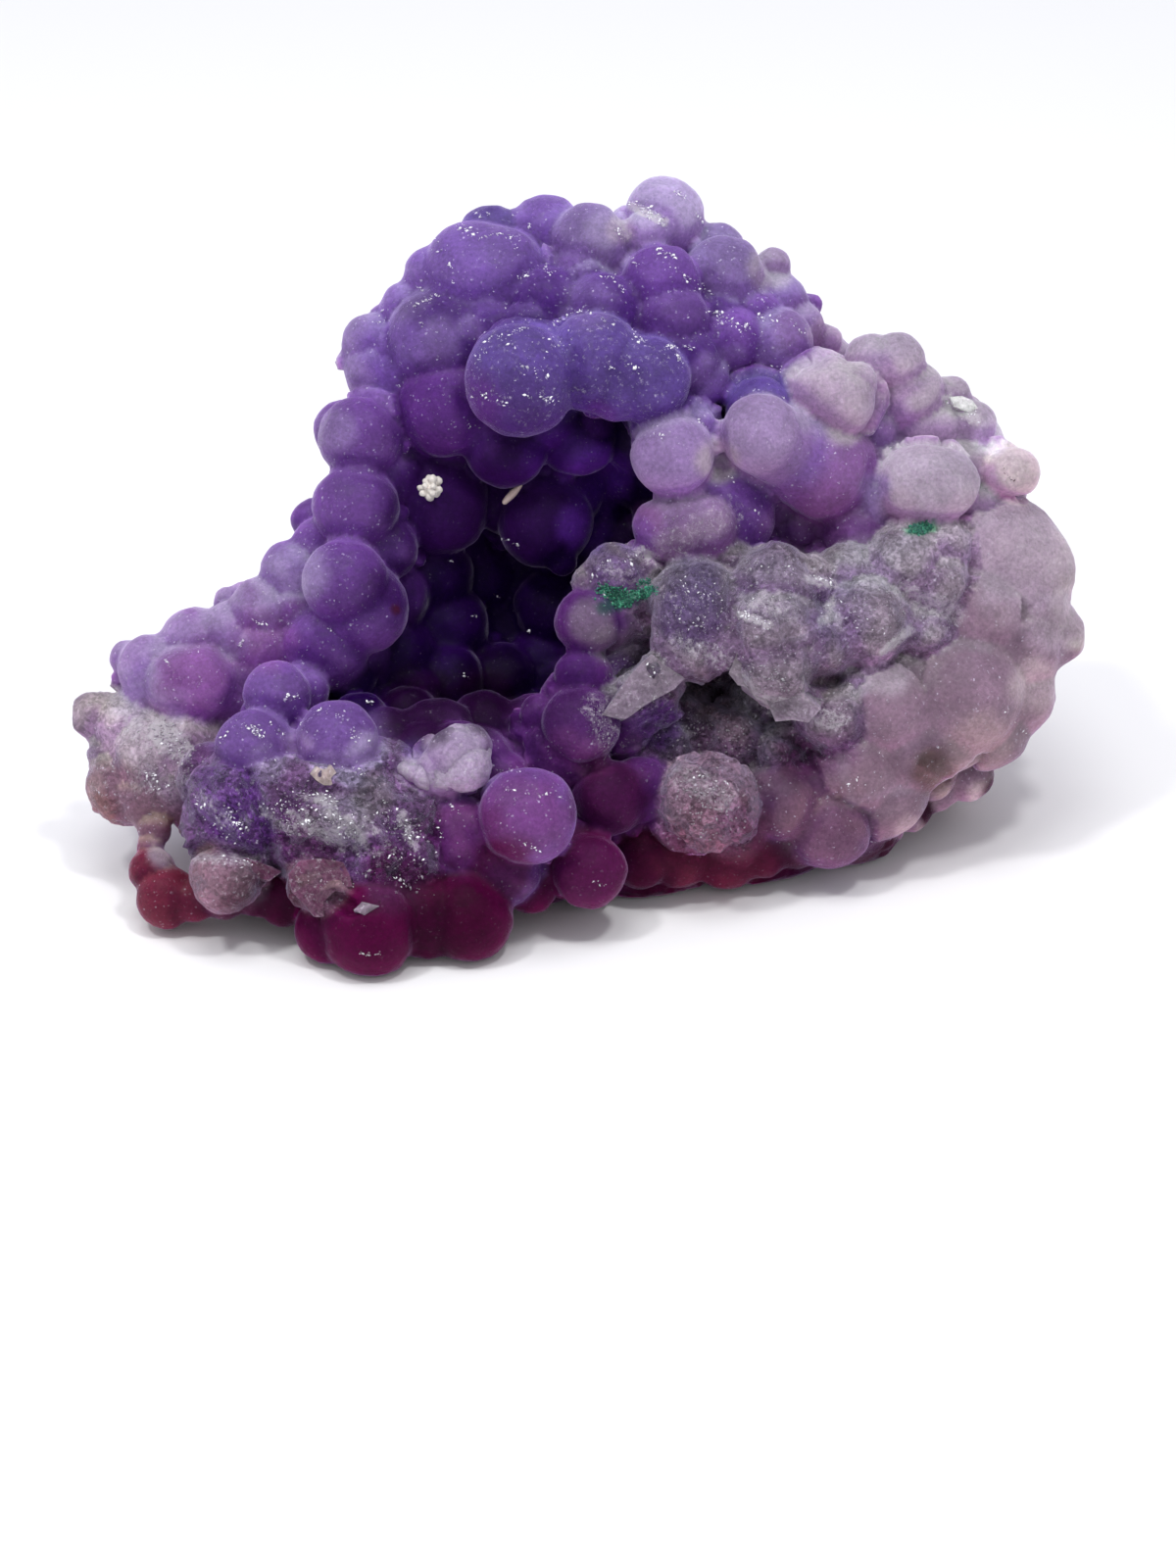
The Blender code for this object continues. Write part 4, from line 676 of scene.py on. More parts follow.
# Fields of finer glints, thinly spread: ends, width, count
GLINTS = (
    (-7, 35, 4, 36, 6, 260), (-4, 30.8, 3, 31.6, 2.6, 90), (6, 34, 9, 31.5, 3, 120),
    (-13.6, 24, -14.6, 17, 2.6, 90), (-22, 15.4, -16, 17.2, 2.2, 70), (-17.4, 12.4, -12.6, 12.4, 1.6, 70),
    (-19, 8.4, -8.6, 6.6, 2.6, 420), (-23.6, 12.4, -21, 10.8, 1.8, 100), (1.4, 20, 13, 19, 2.8, 260),
    (3.4, 27.6, 9.4, 26.4, 2.8, 60), (14, 28, 20, 24, 4, 60), (5, 11.6, 7, 8.6, 2.4, 120),
    (12, 13, 20, 14, 4, 80), (-4, 8.6, -2.6, 8, 2, 40), (-11.6, 2.4, -10, 1.8, 1.6, 20),
)

# Green crystals: ends, width, count
GREEN_PATCHES = (
    (0.7, 19.9, 1.9, 19.5, 0.42, 500), (1.8, 19.4, 3.3, 19.9, 0.3, 420), (1.3, 19.2, 2.2, 19.3, 0.3, 160),
    (2.6, 20.2, 3.2, 20.4, 0.15, 60), (16.5, 23, 17.5, 23.15, 0.25, 260),
    (16.8, 22.8, 17.3, 22.9, 0.15, 80),
)

# Dark specks on the small pale ball at the far right: ends, width, count, smallest, largest
SPECKS = (
    (21.2, 26.2, 21.25, 25.8, 0.1, 5, 0.03, 0.07), (21.3, 25.8, 21.7, 25.4, 0.12, 7, 0.03, 0.07),
    (21.7, 25.7, 21.7, 25.3, 0.1, 4, 0.03, 0.07),
)


def to_world(lobe):
    """Centre and radius in metres of a lobe given on the display face."""
    across, up, toward, radius = lobe
    nearness = (FACE_DISTANCE - toward) / FACE_DISTANCE
    x = across * nearness
    rise = FACE_CENTRE_UP + (up - FACE_CENTRE_UP) * nearness
    y = rise * math.sin(FACE_TILT) - toward * math.cos(FACE_TILT) + FACE_SHIFT_Y
    z = rise * math.cos(FACE_TILT) + toward * math.sin(FACE_TILT) + FACE_SHIFT_Z
    return Vector((x, y, z)) * MM, radius * nearness * MM


def to_face(points):
    """Across, up and toward on the display face, of points in the stone's frame."""
    y = points[:, 1] - FACE_SHIFT_Y
    z = points[:, 2] - FACE_SHIFT_Z
    rise = y * math.sin(FACE_TILT) + z * math.cos(FACE_TILT)
    toward = z * math.sin(FACE_TILT) - y * math.cos(FACE_TILT)
    nearness = (FACE_DISTANCE - toward) / FACE_DISTANCE
    return points[:, 0] / nearness, FACE_CENTRE_UP + (rise - FACE_CENTRE_UP) / nearness, toward


def face_lobes():
    return [lobe for rows in LOBES.values() for lobe in rows]


def rooted_lobes():
    """The lobes that grow from the swellings; the hanging ones hold on to each other."""
    return [lobe for group, rows in LOBES.items() if group != "hanging" for lobe in rows]


def reach(lobe, across, up):
    """How far toward the viewer a lobe comes at a place on the face, or None beside it."""
    left = lobe[3] ** 2 - (lobe[0] - across) ** 2 - (lobe[1] - up) ** 2
    return lobe[2] + math.sqrt(left) if left > 0.0 else None


def face_front(lobes, across, up):
    heights = [reach(lobe, across, up) for lobe in lobes]
    heights = [height for height in heights if height is not None]
    return max(heights) if heights else None


def is_behind(lobes, across, up, radius, checks=10):
    """Whether a disc on the face is covered by the lobes that show there."""
    for i in range(checks):
        turn = math.tau * i / checks
        rim = (across + radius * math.cos(turn), up + radius * math.sin(turn))
        if face_front(lobes, *rim) is None:
            return False
    return True


def spiral(count, start):
    """Evenly spread directions, wound round a sphere by the golden angle."""
    golden = math.pi * (3.0 - math.sqrt(5.0))
    for i in range(count):
        height = 1.0 - 2.0 * (i + 0.5) / count
        wide = math.sqrt(1.0 - height * height)
        yield Vector((wide * math.cos(i * golden + start), wide * math.sin(i * golden + start), height))


def skin_lobes(lobes):
    """Lobes over the back, the top and the underside, none of which shows beyond the face."""
    draw = random.Random(SKIN_SEED)
    skin = []
    for core in CORES:
        centre = Vector(core[:3])
        count = int(4.0 * math.pi * core[3] ** 2 / (0.8 * SKIN_SPACING ** 2))
        for direction in spiral(count, draw.random() * math.tau):
            radius = draw.uniform(*SKIN_RADIUS)
            place = centre + direction * (core[3] + draw.uniform(*SKIN_STANDOFF))
            others = [c for c in CORES if c is not core]
            if min((place - Vector(c[:3])).length - c[3] for c in others) < -SKIN_SUNK * radius:
                continue
            front = face_front(lobes, place.x, place.y)
            if front is None or place.z + radius > front - SKIN_DEPTH_BEHIND:
                continue
            fitting = [radius * share for share in SKIN_SHARES
                       if is_behind(lobes, place.x, place.y, radius * share)]
            if not fitting:
                continue
            radius = fitting[0]
            near = [s for s in skin if (place - Vector(s[:3])).length < SKIN_OVERLAP * (radius + s[3])]
            if not near:
                skin.append((place.x, place.y, place.z, radius))
    return skin


def stem_lobes(lobes):
    """Beads that lead from each lobe down to the swelling that it grows from."""
    stems = []
    for lobe in lobes:
        place = Vector(lobe[:3])
        core = min(CORES, key=lambda c: (place - Vector(c[:3])).length - c[3])
        inward = Vector(core[:3]) - place
        free = inward.length - core[3]
        step = STEM_STEP * lobe[3]
        travelled = step
        radius = lobe[3] * STEM_TAPER
        while travelled < free + step:
            bead = place + inward.normalized() * travelled
            stems.append((bead.x, bead.y, bead.z, radius))
            travelled += step
    return stems


def as_balls(rows):
    """Centres and radii in millimetres, in the stone's frame, of lobes given on the display face."""
    placed = [to_world(row) for row in rows]
    centres = np.array([(centre / MM)[:] for centre, _radius in placed])
    return centres, np.array([radius / MM for _centre, radius in placed])


def smooth_step(low, high, values):
    share = np.clip((values - low) / (high - low), 0.0, 1.0)
    return share * share * (3.0 - 2.0 * share)


def hidden_tones(centres):
    """Violet on the left and behind, soft pink on the right, plum below: partly the stone's colour, partly a
    painted reddish light from underneath.
    """
    left, right, below = (TONES[name] for name in HIDDEN_TONES)
    rightness = smooth_step(*HIDDEN_RIGHT, centres[:, 0])[:, None]
    lowness = smooth_step(*HIDDEN_BELOW, centres[:, 2])[:, None]
    tone = left + (right - left) * rightness
    return tone + (below - tone) * HIDDEN_PLUM_UNDERLIGHT * lowness


def lobe_looks():
    """The look of each shown lobe: its group's, or with a tone of its own."""
    looks = []
    for group, lobes in LOBES.items():
        own = [GROUP_LOOKS[group]] * len(lobes)
        for tone, places in LOBE_TONES.get(group, {}).items():
            for place in places:
                own[place] = (tone, *own[place][1:])
        looks += own
    return looks


def grow():
    """Every ball of the mass with its look: tone, grain, frost, softness and pebbliness."""
    rows = face_lobes()
    shown = len(rows)
    looks = lobe_looks()
    swells = [SWELLS.get(group, 1.0) for group, lobes in LOBES.items() for _ in lobes]
    skin = skin_lobes(face_lobes())
    stems = stem_lobes(rooted_lobes())
    for extra, look in ((CORES, CORE_LOOK), (skin, BACK_LOOK), (stems, CORE_LOOK)):
        rows += extra
        looks += [look] * len(extra)
    centres, radii = as_balls(rows)
    radii[:shown] *= swells
    tones = np.array([TONES[look[0]] for look in looks])
    tones[shown:] = hidden_tones(centres[shown:])
    looks = np.column_stack((tones, np.array([look[1:] for look in looks])))
    return {"centres": centres, "radii": radii, "looks": looks, "hidden": np.arange(len(rows)) >= shown}


@contextmanager
def edited(data):
    """The mesh as a bmesh, which is written back at the end."""
    mesh = bmesh.new()
    mesh.from_mesh(data)
    yield mesh
    mesh.to_mesh(data)
    mesh.free()


def unit_icosphere(detail):
    ball = bmesh.new()
    bmesh.ops.create_icosphere(ball, subdivisions=detail, radius=1.0)
    points = np.array([vert.co[:] for vert in ball.verts])
    faces = np.array([[vert.index for vert in face.verts] for face in ball.faces])
    ball.free()
    return points, faces


def mesh_from_arrays(name, points, faces):
    """A triangle mesh from millimetre points."""
    data = bpy.data.meshes.new(name)
    data.vertices.add(len(points))
    data.vertices.foreach_set("co", (np.asarray(points) * MM).astype(np.float32).ravel())
    data.loops.add(faces.size)
    data.loops.foreach_set("vertex_index", faces.astype(np.int32).ravel())
    data.polygons.add(len(faces))
    data.polygons.foreach_set("loop_start", np.arange(0, faces.size, 3, dtype=np.int32))
    data.update(calc_edges=True)
    return data


def add_object(name, data):
    piece = bpy.data.objects.new(name, data)
    bpy.context.scene.collection.objects.link(piece)
    return piece


def add_balls(name, centres, radii, detail):
    """Many balls in one piece, overlapping."""
    points, faces = unit_icosphere(detail)
    all_points = centres[:, None, :] + points[None, :, :] * radii[:, None, None]
    starts = (np.arange(len(radii)) * len(points))[:, None, None]
    all_faces = faces[None, :, :] + starts
    return add_object(name, mesh_from_arrays(name, all_points.reshape(-1, 3), all_faces.reshape(-1, 3)))


def bake_modifiers(piece):
    graph = bpy.context.evaluated_depsgraph_get()
    data = bpy.data.meshes.new_from_object(piece.evaluated_get(graph))
    piece.modifiers.clear()
    piece.data = data


def fuse(piece, voxel):
    """Fuse the piece's overlapping shells into one skin of even triangles."""
    remesh = piece.modifiers.new("fuse", "REMESH")
    remesh.mode = "VOXEL"
    remesh.voxel_size = voxel * MM
    bake_modifiers(piece)
    with edited(piece.data) as mesh:
        shells = sorted(connected(mesh), key=len)
        pockets = [vert for shell in shells[:-1] for vert in shell]
        bmesh.ops.delete(mesh, geom=pockets, context="VERTS")
        bmesh.ops.triangulate(mesh, faces=mesh.faces)


def connected(mesh):
    """The vertices of each closed shell."""
    seen = set()
    for start in mesh.verts:
        if start in seen:
            continue
        seen.add(start)
        shell = [start]
        for vert in shell:
            for edge in vert.link_edges:
                other = edge.other_vert(vert)
                if other not in seen:
                    seen.add(other)
                    shell.append(other)
        yield shell


def mesh_points(data):
    points = np.empty(len(data.vertices) * 3, dtype=np.float32)
    data.vertices.foreach_get("co", points)
    return points.reshape(-1, 3).astype(np.float64) / MM


def set_mesh_points(data, points):
    data.vertices.foreach_set("co", (points * MM).astype(np.float32).ravel())
    data.update()


def edge_pairs(data):
    pairs = np.empty(len(data.edges) * 2, dtype=np.int32)
    data.edges.foreach_get("vertices", pairs)
    return pairs.reshape(-1, 2)


def normals_of(piece):
    normals = np.empty(len(piece.data.vertices) * 3, dtype=np.float32)
    piece.data.vertices.foreach_get("normal", normals)
    return normals.reshape(-1, 3)


def write_attribute(data, name, values):
    """Store a number or a colour for every vertex."""
    if values.ndim == 1:
        layer = data.attributes.new(name, "FLOAT", "POINT")
        layer.data.foreach_set("value", values.astype(np.float32))
        return
    layer = data.attributes.new(name, "FLOAT_COLOR", "POINT")
    rgba = np.ones((len(values), 4), dtype=np.float32)
    rgba[:, :3] = values
    layer.data.foreach_set("color", rgba.ravel())


def nearest_balls(points, balls):
    """For each point, the NEAREST balls by distance to their skin."""
    centres = balls["centres"].astype(np.float32)
    radii = balls["radii"].astype(np.float32)
    picks = np.empty((len(points), NEAREST), dtype=np.int32)
    for start in range(0, len(points), CHUNK):
        chunk = points[start:start + CHUNK].astype(np.float32)
        square = ((chunk ** 2).sum(1)[:, None] + (centres ** 2).sum(1)[None, :]
                  - 2.0 * chunk @ centres.T)
        gap = np.sqrt(np.maximum(square, 0.0)) - radii
        picks[start:start + CHUNK] = np.argpartition(gap, NEAREST, axis=1)[:, :NEAREST]
    return picks


def own_ball(points, balls, picks):
    """The ball whose skin is nearest to each point."""
    away = points[:, None, :] - balls["centres"][picks]
    gap = np.linalg.norm(away, axis=2) - balls["radii"][picks]
    return np.take_along_axis(picks, gap.argmin(axis=1)[:, None], 1)[:, 0]


def fused(points, balls, picks, softness):
    """Distance to the fused skin, the mean direction away from the near balls, and their shares."""
    away = points[:, None, :] - balls["centres"][picks]
    length = np.linalg.norm(away, axis=2)
    gap = length - balls["radii"][picks]
    nearest = gap.min(axis=1)
    share = np.exp((nearest[:, None] - gap) / softness[:, None])
    total = share.sum(axis=1)
    share /= total[:, None]
    mean = (away / length[:, :, None] * share[:, :, None]).sum(axis=1)
    return nearest - softness * np.log(total), mean, share


def unit(directions):
    return directions / np.linalg.norm(directions, axis=1)[:, None]


def settle(points, balls, picks, softness):
    """Move points on to the fused skin."""
    for _ in range(SETTLE_ROUNDS):
        distance, mean, _share = fused(points, balls, picks, softness)
        points = points - unit(mean) * np.clip(distance, -SETTLE_STEP, SETTLE_STEP)[:, None]
    return points


def relaxed(points, pairs, share):
    """Ease each point toward the middle of its neighbours."""
    count = np.bincount(pairs.ravel(), minlength=len(points))[:, None]
    total = np.zeros_like(points)
    for axis in range(3):
        total[:, axis] += np.bincount(pairs[:, 0], points[pairs[:, 1], axis], len(points))
        total[:, axis] += np.bincount(pairs[:, 1], points[pairs[:, 0], axis], len(points))
    return points + share * (total / count - points)


def noise_at(points, size, octaves=1, offset=0.0):
    """Fractal noise, about -1 to 1, with features of the given size in millimetres."""
    basis = "PERLIN_ORIGINAL"
    scaled = points / size + offset
    return np.array([noise.fractal(Vector(p), 0.7, 2.0, octaves, noise_basis=basis) for p in scaled])


def waves(points, height, size, octaves, offset):
    return height * noise_at(points, size, octaves, offset)


def facet_relief(points, size, slope):
    """Small broken planes: each cell of the surface tilts its own way."""
    relief = np.empty(len(points))
    for i, point in enumerate(points / size):
        seed = noise.voronoi(Vector(point))[1][0]
        lean = Vector(noise.cell_vector(seed * 7.0)) * 2.0 - Vector((1.0, 1.0, 1.0))
        relief[i] = (Vector(point) - seed).dot(lean)
    return relief * size * slope


def pebble_relief(points):
    """Rounded bumps."""
    bumps = [0.5 - noise.voronoi(Vector(point))[0][0] for point in points / PEBBLE_SIZE]
    return np.array(bumps) * PEBBLE_HEIGHT


def lent_looks(points, balls):
    """The looks of the shown lobes nearest to each point, and the gap to the nearest."""
    shown = ~balls["hidden"]
    centres = balls["centres"][shown]
    radii = balls["radii"][shown]
    lent = np.empty((len(points), balls["looks"].shape[1]))
    near = np.empty(len(points))
    for start in range(0, len(points), CHUNK):
        rows = slice(start, start + CHUNK)
        gap = np.linalg.norm(points[rows, None, :] - centres, axis=2) - radii
        near[rows] = gap.min(axis=1)
        weight = np.exp((near[rows, None] - gap) / 0.5)
        lent[rows] = weight @ balls["looks"][shown] / weight.sum(axis=1)[:, None]
    return lent, near


def looks_at(points, balls, picks, share):
    """Tone, grain, frost, softness and pebbliness at each point of the skin."""
    draw = random.Random(SHADE_SEED)
    shade = np.array([draw.uniform(*SHADES) for _ in balls["radii"]])
    looks = balls["looks"].copy()
    looks[:, :3] *= shade[:, None]
    hidden_share = share * balls["hidden"][picks]
    own = (looks[picks] * (share - hidden_share)[:, :, None]).sum(axis=1)
    behind = (looks[picks] * hidden_share[:, :, None]).sum(axis=1)
    hidden_share = hidden_share.sum(axis=1)[:, None]
    lent, near = lent_looks(points, balls)
    # painted shade: growth seen in the gaps between lobes is darker
    lent[:, :3] *= GAP_PAINTED_SHADE
    far = smooth_step(*BORROW_REACH, near)[:, None]
    return own + lent * hidden_share * (1.0 - far) + behind * far


def streak_share(across, up, streak):
    """How much of a streak lies at each place: 1 on its spine, 0 past its width."""
    start_across, start_up, end_across, end_up, width = streak
    run = np.array((end_across - start_across, end_up - start_up))
    along = ((across - start_across) * run[0] + (up - start_up) * run[1]) / (run @ run)
    along = np.clip(along, 0.0, 1.0)
    far = np.hypot(across - start_across - along * run[0], up - start_up - along * run[1])
    return 1.0 - smooth_step(*STREAK_EDGE, far / width)


def washed(tone, points, facing, waver):
    """Lay the washes and streaks over the tones where the surface faces the viewer."""
    across, up, _toward = to_face(points)
    for place_across, place_up, wide, name, strength in WASHES:
        far = np.hypot(across - place_across, up - place_up) / wide + WASH_WAVER * waver
        share = strength * facing * (1.0 - smooth_step(*WASH_EDGE, far))
        tone = tone + (TONES[name] - tone) * share[:, None]
    across = across + STREAK_WAVER[0] * waver
    up = up + STREAK_WAVER[1] * waver[::-1]
    for *streak, name, strength in STREAKS:
        share = strength * facing * streak_share(across, up, streak)
        tone = tone + (TONES[name] - tone) * share[:, None]
    return tone


def frosted(frost, points, facing):
    across, up, _toward = to_face(points)
    for *patch, strength in FROSTS:
        frost = np.maximum(frost, strength * facing * streak_share(across, up, patch))
    return frost


def dented(points, facing):
    """Press holes and cracks in along the line of sight, and raise thin ridges."""
    across, up, _toward = to_face(points)
    pressed = np.zeros(len(points))
    for *dent, depth in DENTS:
        pressed += depth * streak_share(across, up, dent)
    return points - VIEW * (pressed * facing)[:, None]


def painted_light_tone(tone, rise):
    """Painted light: darker and cooler where the stone faces up, lighter and warmer where it faces down, as
    if light came through it from above.
    """
    above = smooth_step(*UPWARD, rise)[:, None]
    below = smooth_step(*DOWNWARD, rise)[:, None]
    return tone * (1.0 + (TOP_PAINTED_SHADE - 1.0) * above) * (1.0 + (UNDER_PAINTED_LIGHT - 1.0) * below)


def kept_in_box(points):
    low, high = (np.array(corner) / MM for corner in CAD_BOX)
    return np.clip(points, low, high)


def settle_skin(stone, balls):
    """Bring the fused skin on to the balls, with soft or crisp grooves between them."""
    points = mesh_points(stone.data)
    pairs = edge_pairs(stone.data)
    picks = nearest_balls(points, balls)
    softness = balls["looks"][own_ball(points, balls, picks), 5]
    for share in EASING:
        points = settle(points, balls, picks, softness)
        points = relaxed(points, pairs, share)
    set_mesh_points(stone.data, points)


def break_flat(piece):
    """Cut the mass off at z = 0 and close the break."""
    with edited(piece.data) as mesh:
        everything = [*mesh.verts, *mesh.edges, *mesh.faces]
        bmesh.ops.bisect_plane(
            mesh, geom=everything, plane_co=(0.0, 0.0, 0.0), plane_no=(0.0, 0.0, 1.0), clear_inner=True)
        rim = [edge for edge in mesh.edges if edge.is_boundary]
        bmesh.ops.triangle_fill(mesh, edges=rim, use_beauty=True)
        bmesh.ops.recalc_face_normals(mesh, faces=mesh.faces)


def thin_hidden(piece, balls):
    """Fewer, larger faces where the display face doesn't look."""
    points = mesh_points(piece.data)
    picks = nearest_balls(points, balls)
    outward = unit(fused(points, balls, picks, np.full(len(points), 0.3))[1])
    shown = (outward @ VIEW > AWAY) & (points[:, 2] > 0.05)
    group = piece.vertex_groups.new(name="hidden")
    for i in np.flatnonzero(~shown):
        group.add([int(i)], 1.0, "REPLACE")
    thin = piece.modifiers.new("thin", "DECIMATE")
    thin.vertex_group = "hidden"
    thin.ratio = SKIN_TRIANGLES / len(piece.data.polygons)
    bake_modifiers(piece)
    piece.vertex_groups.clear()


def skin_relief(points, grain, pebble, seam, waver):
    """How far the skin stands out: swells, grooves, broken planes and pebbles."""
    relief = waves(points, *SWELL) + WAVER_HEIGHT * waver + waves(points, *UNEVENNESS)
    relief -= SEAM_DEPTH * seam * (1.0 - grain)
    rough = grain > ROUGH_FROM
    broken = sum(facet_relief(points[rough], *facets) for facets in FACETS)
    broken += waves(points[rough], *TOOTH)
    relief[rough] += broken * smooth_step(*ROUGH_GROWTH, grain[rough])
    pebbly = pebble > PEBBLY_FROM
    relief[pebbly] += pebble[pebbly] * pebble_relief(points[pebbly])
    return relief


def colour_and_carve(stone, balls):
    """Write the stone's looks at each point, then carve its relief."""
    points = mesh_points(stone.data)
    picks = nearest_balls(points, balls)
    _distance, mean, share = fused(points, balls, picks, np.full(len(points), BLEND))
    outward = unit(mean)
    looks = looks_at(points, balls, picks, share)
    tone, grain, frost, soft, pebble = looks[:, :3], looks[:, 3], looks[:, 4], looks[:, 5], looks[:, 6]
    facing = smooth_step(*FACING, outward @ VIEW)
    waver = noise_at(points, 1.1, 2, 3.1)
    # painted light: darker and cooler on top, lighter and warmer underneath
    tone = painted_light_tone(washed(tone, points, facing, waver), outward[:, 2])

    # where balls meet they lean apart; the lower one's edge is the crest of the groove
    mean = fused(points, balls, picks, np.full(len(points), SEAM_BLEND))[1]
    seam = smooth_step(*SEAM_LEAN, 1.0 - np.linalg.norm(mean, axis=1))
    seam *= 1.0 - 0.8 * smooth_step(0.2, 0.35, soft)
    own = own_ball(points, balls, picks)
    rise = (points - balls["centres"][own]) @ FACE_UP / balls["radii"][own]
    crest = seam * smooth_step(0.0, 0.6, rise)
    # painted rim light: lighter where the skin turns from the viewer near the top
    rim = smooth_step(0.55, 0.05, outward @ VIEW) * smooth_step(-0.2, 0.5, outward @ FACE_UP)
    # painted shade: the groove between lobes darkens, except on its crest
    tone = tone * (1.0 - (seam - crest)[:, None] * SEAM_PAINTED_SHADE)
    purple = 1.0 - smooth_step(*PURPLE, tone @ LIGHTNESS)
    # painted highlight: the crest on a lobe's upper side is made lighter, and frosted on deep purple
    crest_highlight = (crest * (0.3 + 0.7 * purple))[:, None] * CREST_HIGHLIGHT
    tone = tone * (1.0 + crest_highlight) * (1.0 + RIM_PAINTED_LIGHT * rim)[:, None]
    light = tone @ LIGHTNESS
    crest_frost_highlight = CREST_FROST_HIGHLIGHT * crest * purple * smooth_step(0.02, 0.1, light)
    values = {
        "tone": tone,
        "grain": grain,
        "frost": np.maximum(frosted(frost, points, facing), crest_frost_highlight),
        "crest": crest,
        # gleam sets the coat's gloss and also the amount of painted glints
        "gleam": 0.02 + (0.08 + 0.18 * purple) * smooth_step(0.012, 0.06, light),
    }
    points = points + outward * skin_relief(points, grain, pebble, seam, waver)[:, None]
    set_mesh_points(stone.data, kept_in_box(dented(points, facing)))
    for name, numbers in values.items():
        write_attribute(stone.data, name, numbers)


def make_stone():
    balls = grow()
    stone = add_balls("stone_skin", balls["centres"], balls["radii"], SKIN_DETAIL)
    fuse(stone, VOXEL)
    settle_skin(stone, balls)
    break_flat(stone)
    thin_hidden(stone, balls)
    colour_and_carve(stone, balls)
    stone.data.shade_smooth()
    stone.data.materials.append(stone_material())
    return stone


def skin_tree(piece):
    return BVHTree.FromPolygons(
        [vert.co / MM for vert in piece.data.vertices],
        [face.vertices[:] for face in piece.data.polygons])


def landed(tree, across, up):
    """Where the line of sight through a place on the face meets the skin: place, normal, face."""
    start, _radius = to_world((across, up, SIGHT[0], 1.0))
    end, _radius = to_world((across, up, SIGHT[1], 1.0))
    return tree.ray_cast(start / MM, (end - start).normalized())[:3]


def strewn(ends, width, draw):
    """A random place along a line on the face."""
    start_across, start_up, end_across, end_up = ends
    along = draw.random()
    across = start_across + (end_across - start_across) * along + draw.gauss(0.0, 0.45) * width
    up = start_up + (end_up - start_up) * along + draw.gauss(0.0, 0.45) * width
    return across, up


def crystal_corners(place, normal, sizes, draw):
    """The corners of one crystal, two on each axis, turned at random and half sunk in the skin."""
    axis = Vector((draw.gauss(0.0, 1.0), draw.gauss(0.0, 1.0), draw.gauss(0.0, 1.0)))
    turn = Matrix.Rotation(draw.uniform(0.0, math.tau), 3, axis)
    smallest, largest = sizes
    scale = smallest + (largest - smallest) * draw.random() ** 2.0
    spans = (scale, scale * draw.uniform(0.3, 0.8), scale * draw.uniform(0.25, 0.6))
    corners = []
    for axis in range(3):
        for side in (1.0, -1.0):
            corner = Vector((0.0, 0.0, 0.0))
            corner[axis] = spans[axis] * side
            corners.append(place + normal * 0.1 * scale + turn @ corner)
    return corners


def crystal_faces():
    """The eight faces of a crystal, each with one corner of every axis."""
    return [(x, y, z) if (x + y + z) % 2 == 0 else (x, z, y) for x in (0, 1) for y in (2, 3) for z in (4, 5)]


def joined_crystals(name, tree, clusters, shade_at, seed):
    """Tiny eight-sided crystals joined in one mesh."""
    draw = random.Random(seed)
    points, shades = [], []
    for cluster in clusters:
        *ends, width, count, smallest, largest = cluster[:8]
        for _ in range(count):
            place, normal, face = landed(tree, *strewn(ends, width, draw))
            shade = None if place is None else shade_at(face, cluster, draw)
            if shade is not None:
                points += crystal_corners(place, normal, (smallest, largest), draw)
                shades += [shade] * 6
    firsts = np.arange(0, len(points), 6)[:, None, None]
    faces = (firsts + np.array(crystal_faces())).reshape(-1, 3)
    data = mesh_from_arrays(name, kept_in_box(np.array(points)), faces)
    write_attribute(data, "tone", np.array(shades))
    return add_object(name, data)


def shade_between(first, second):
    """Crystals that run from one tone to another, mostly the first."""
    def shade_at(_face, _cluster, draw):
        return TONES[first] + (TONES[second] - TONES[first]) * draw.random() ** 1.5
    return shade_at


def shade_of_stone(stone, pale_name):
    """Crystals that run from the tone of the skin that they stand on to a paler one.

    A cluster's ninth number is the paleness; a tenth is how many of its crystals stay off a crest.
    """
    tones = np.empty(len(stone.data.vertices) * 4, dtype=np.float32)
    stone.data.attributes["tone"].data.foreach_get("color", tones)
    tones = tones.reshape(-1, 4)[:, :3]
    crest = np.empty(len(stone.data.vertices), dtype=np.float32)
    stone.data.attributes["crest"].data.foreach_get("value", crest)

    def shade_at(face, cluster, draw):
        spot = stone.data.polygons[face].vertices[0]
        if len(cluster) > 9 and draw.random() > cluster[9] + crest[spot]:
            return None
        tone = tones[spot] * draw.uniform(0.8, 1.6)
        pale = cluster[8] * draw.choice(PALENESS)
        return tone + (TONES[pale_name] - tone) * pale
    return shade_at


def flake_points(places, out, lift, colour, draw):
    """A plate's raised middle and lifted rim, then the rim again, sunk in the stone and darker there as
    painted shade under the plate's edge.
    """
    depths = sorted(place.dot(out) for place in places)
    level = depths[len(depths) // 2]
    points, shades = [], []
    for i, place in enumerate(places):
        flat = place + out * (FLAKE_LEVELLING * (level - place.dot(out)))
        points.append(flat + out * lift * draw.uniform(0.8, 1.0) * (1.15 if i == 0 else 0.9))
        shades.append(colour * draw.uniform(0.85, 1.2))
    # painted shade: the sides darken where they go into the stone
    for place in places[1:]:
        points.append(place - out * FLAKE_ROOT)
        shades.append(colour * 0.6)
    return points, shades


def flake_faces(first, count):
    """A fan over the middle and a band round the rim."""
    faces = []
    for i in range(count):
        top = first + 1 + i
        other = first + 1 + (i + 1) % count
        faces += [[first, other, top], [top, other, other + count], [top, other + count, top + count]]
    return faces


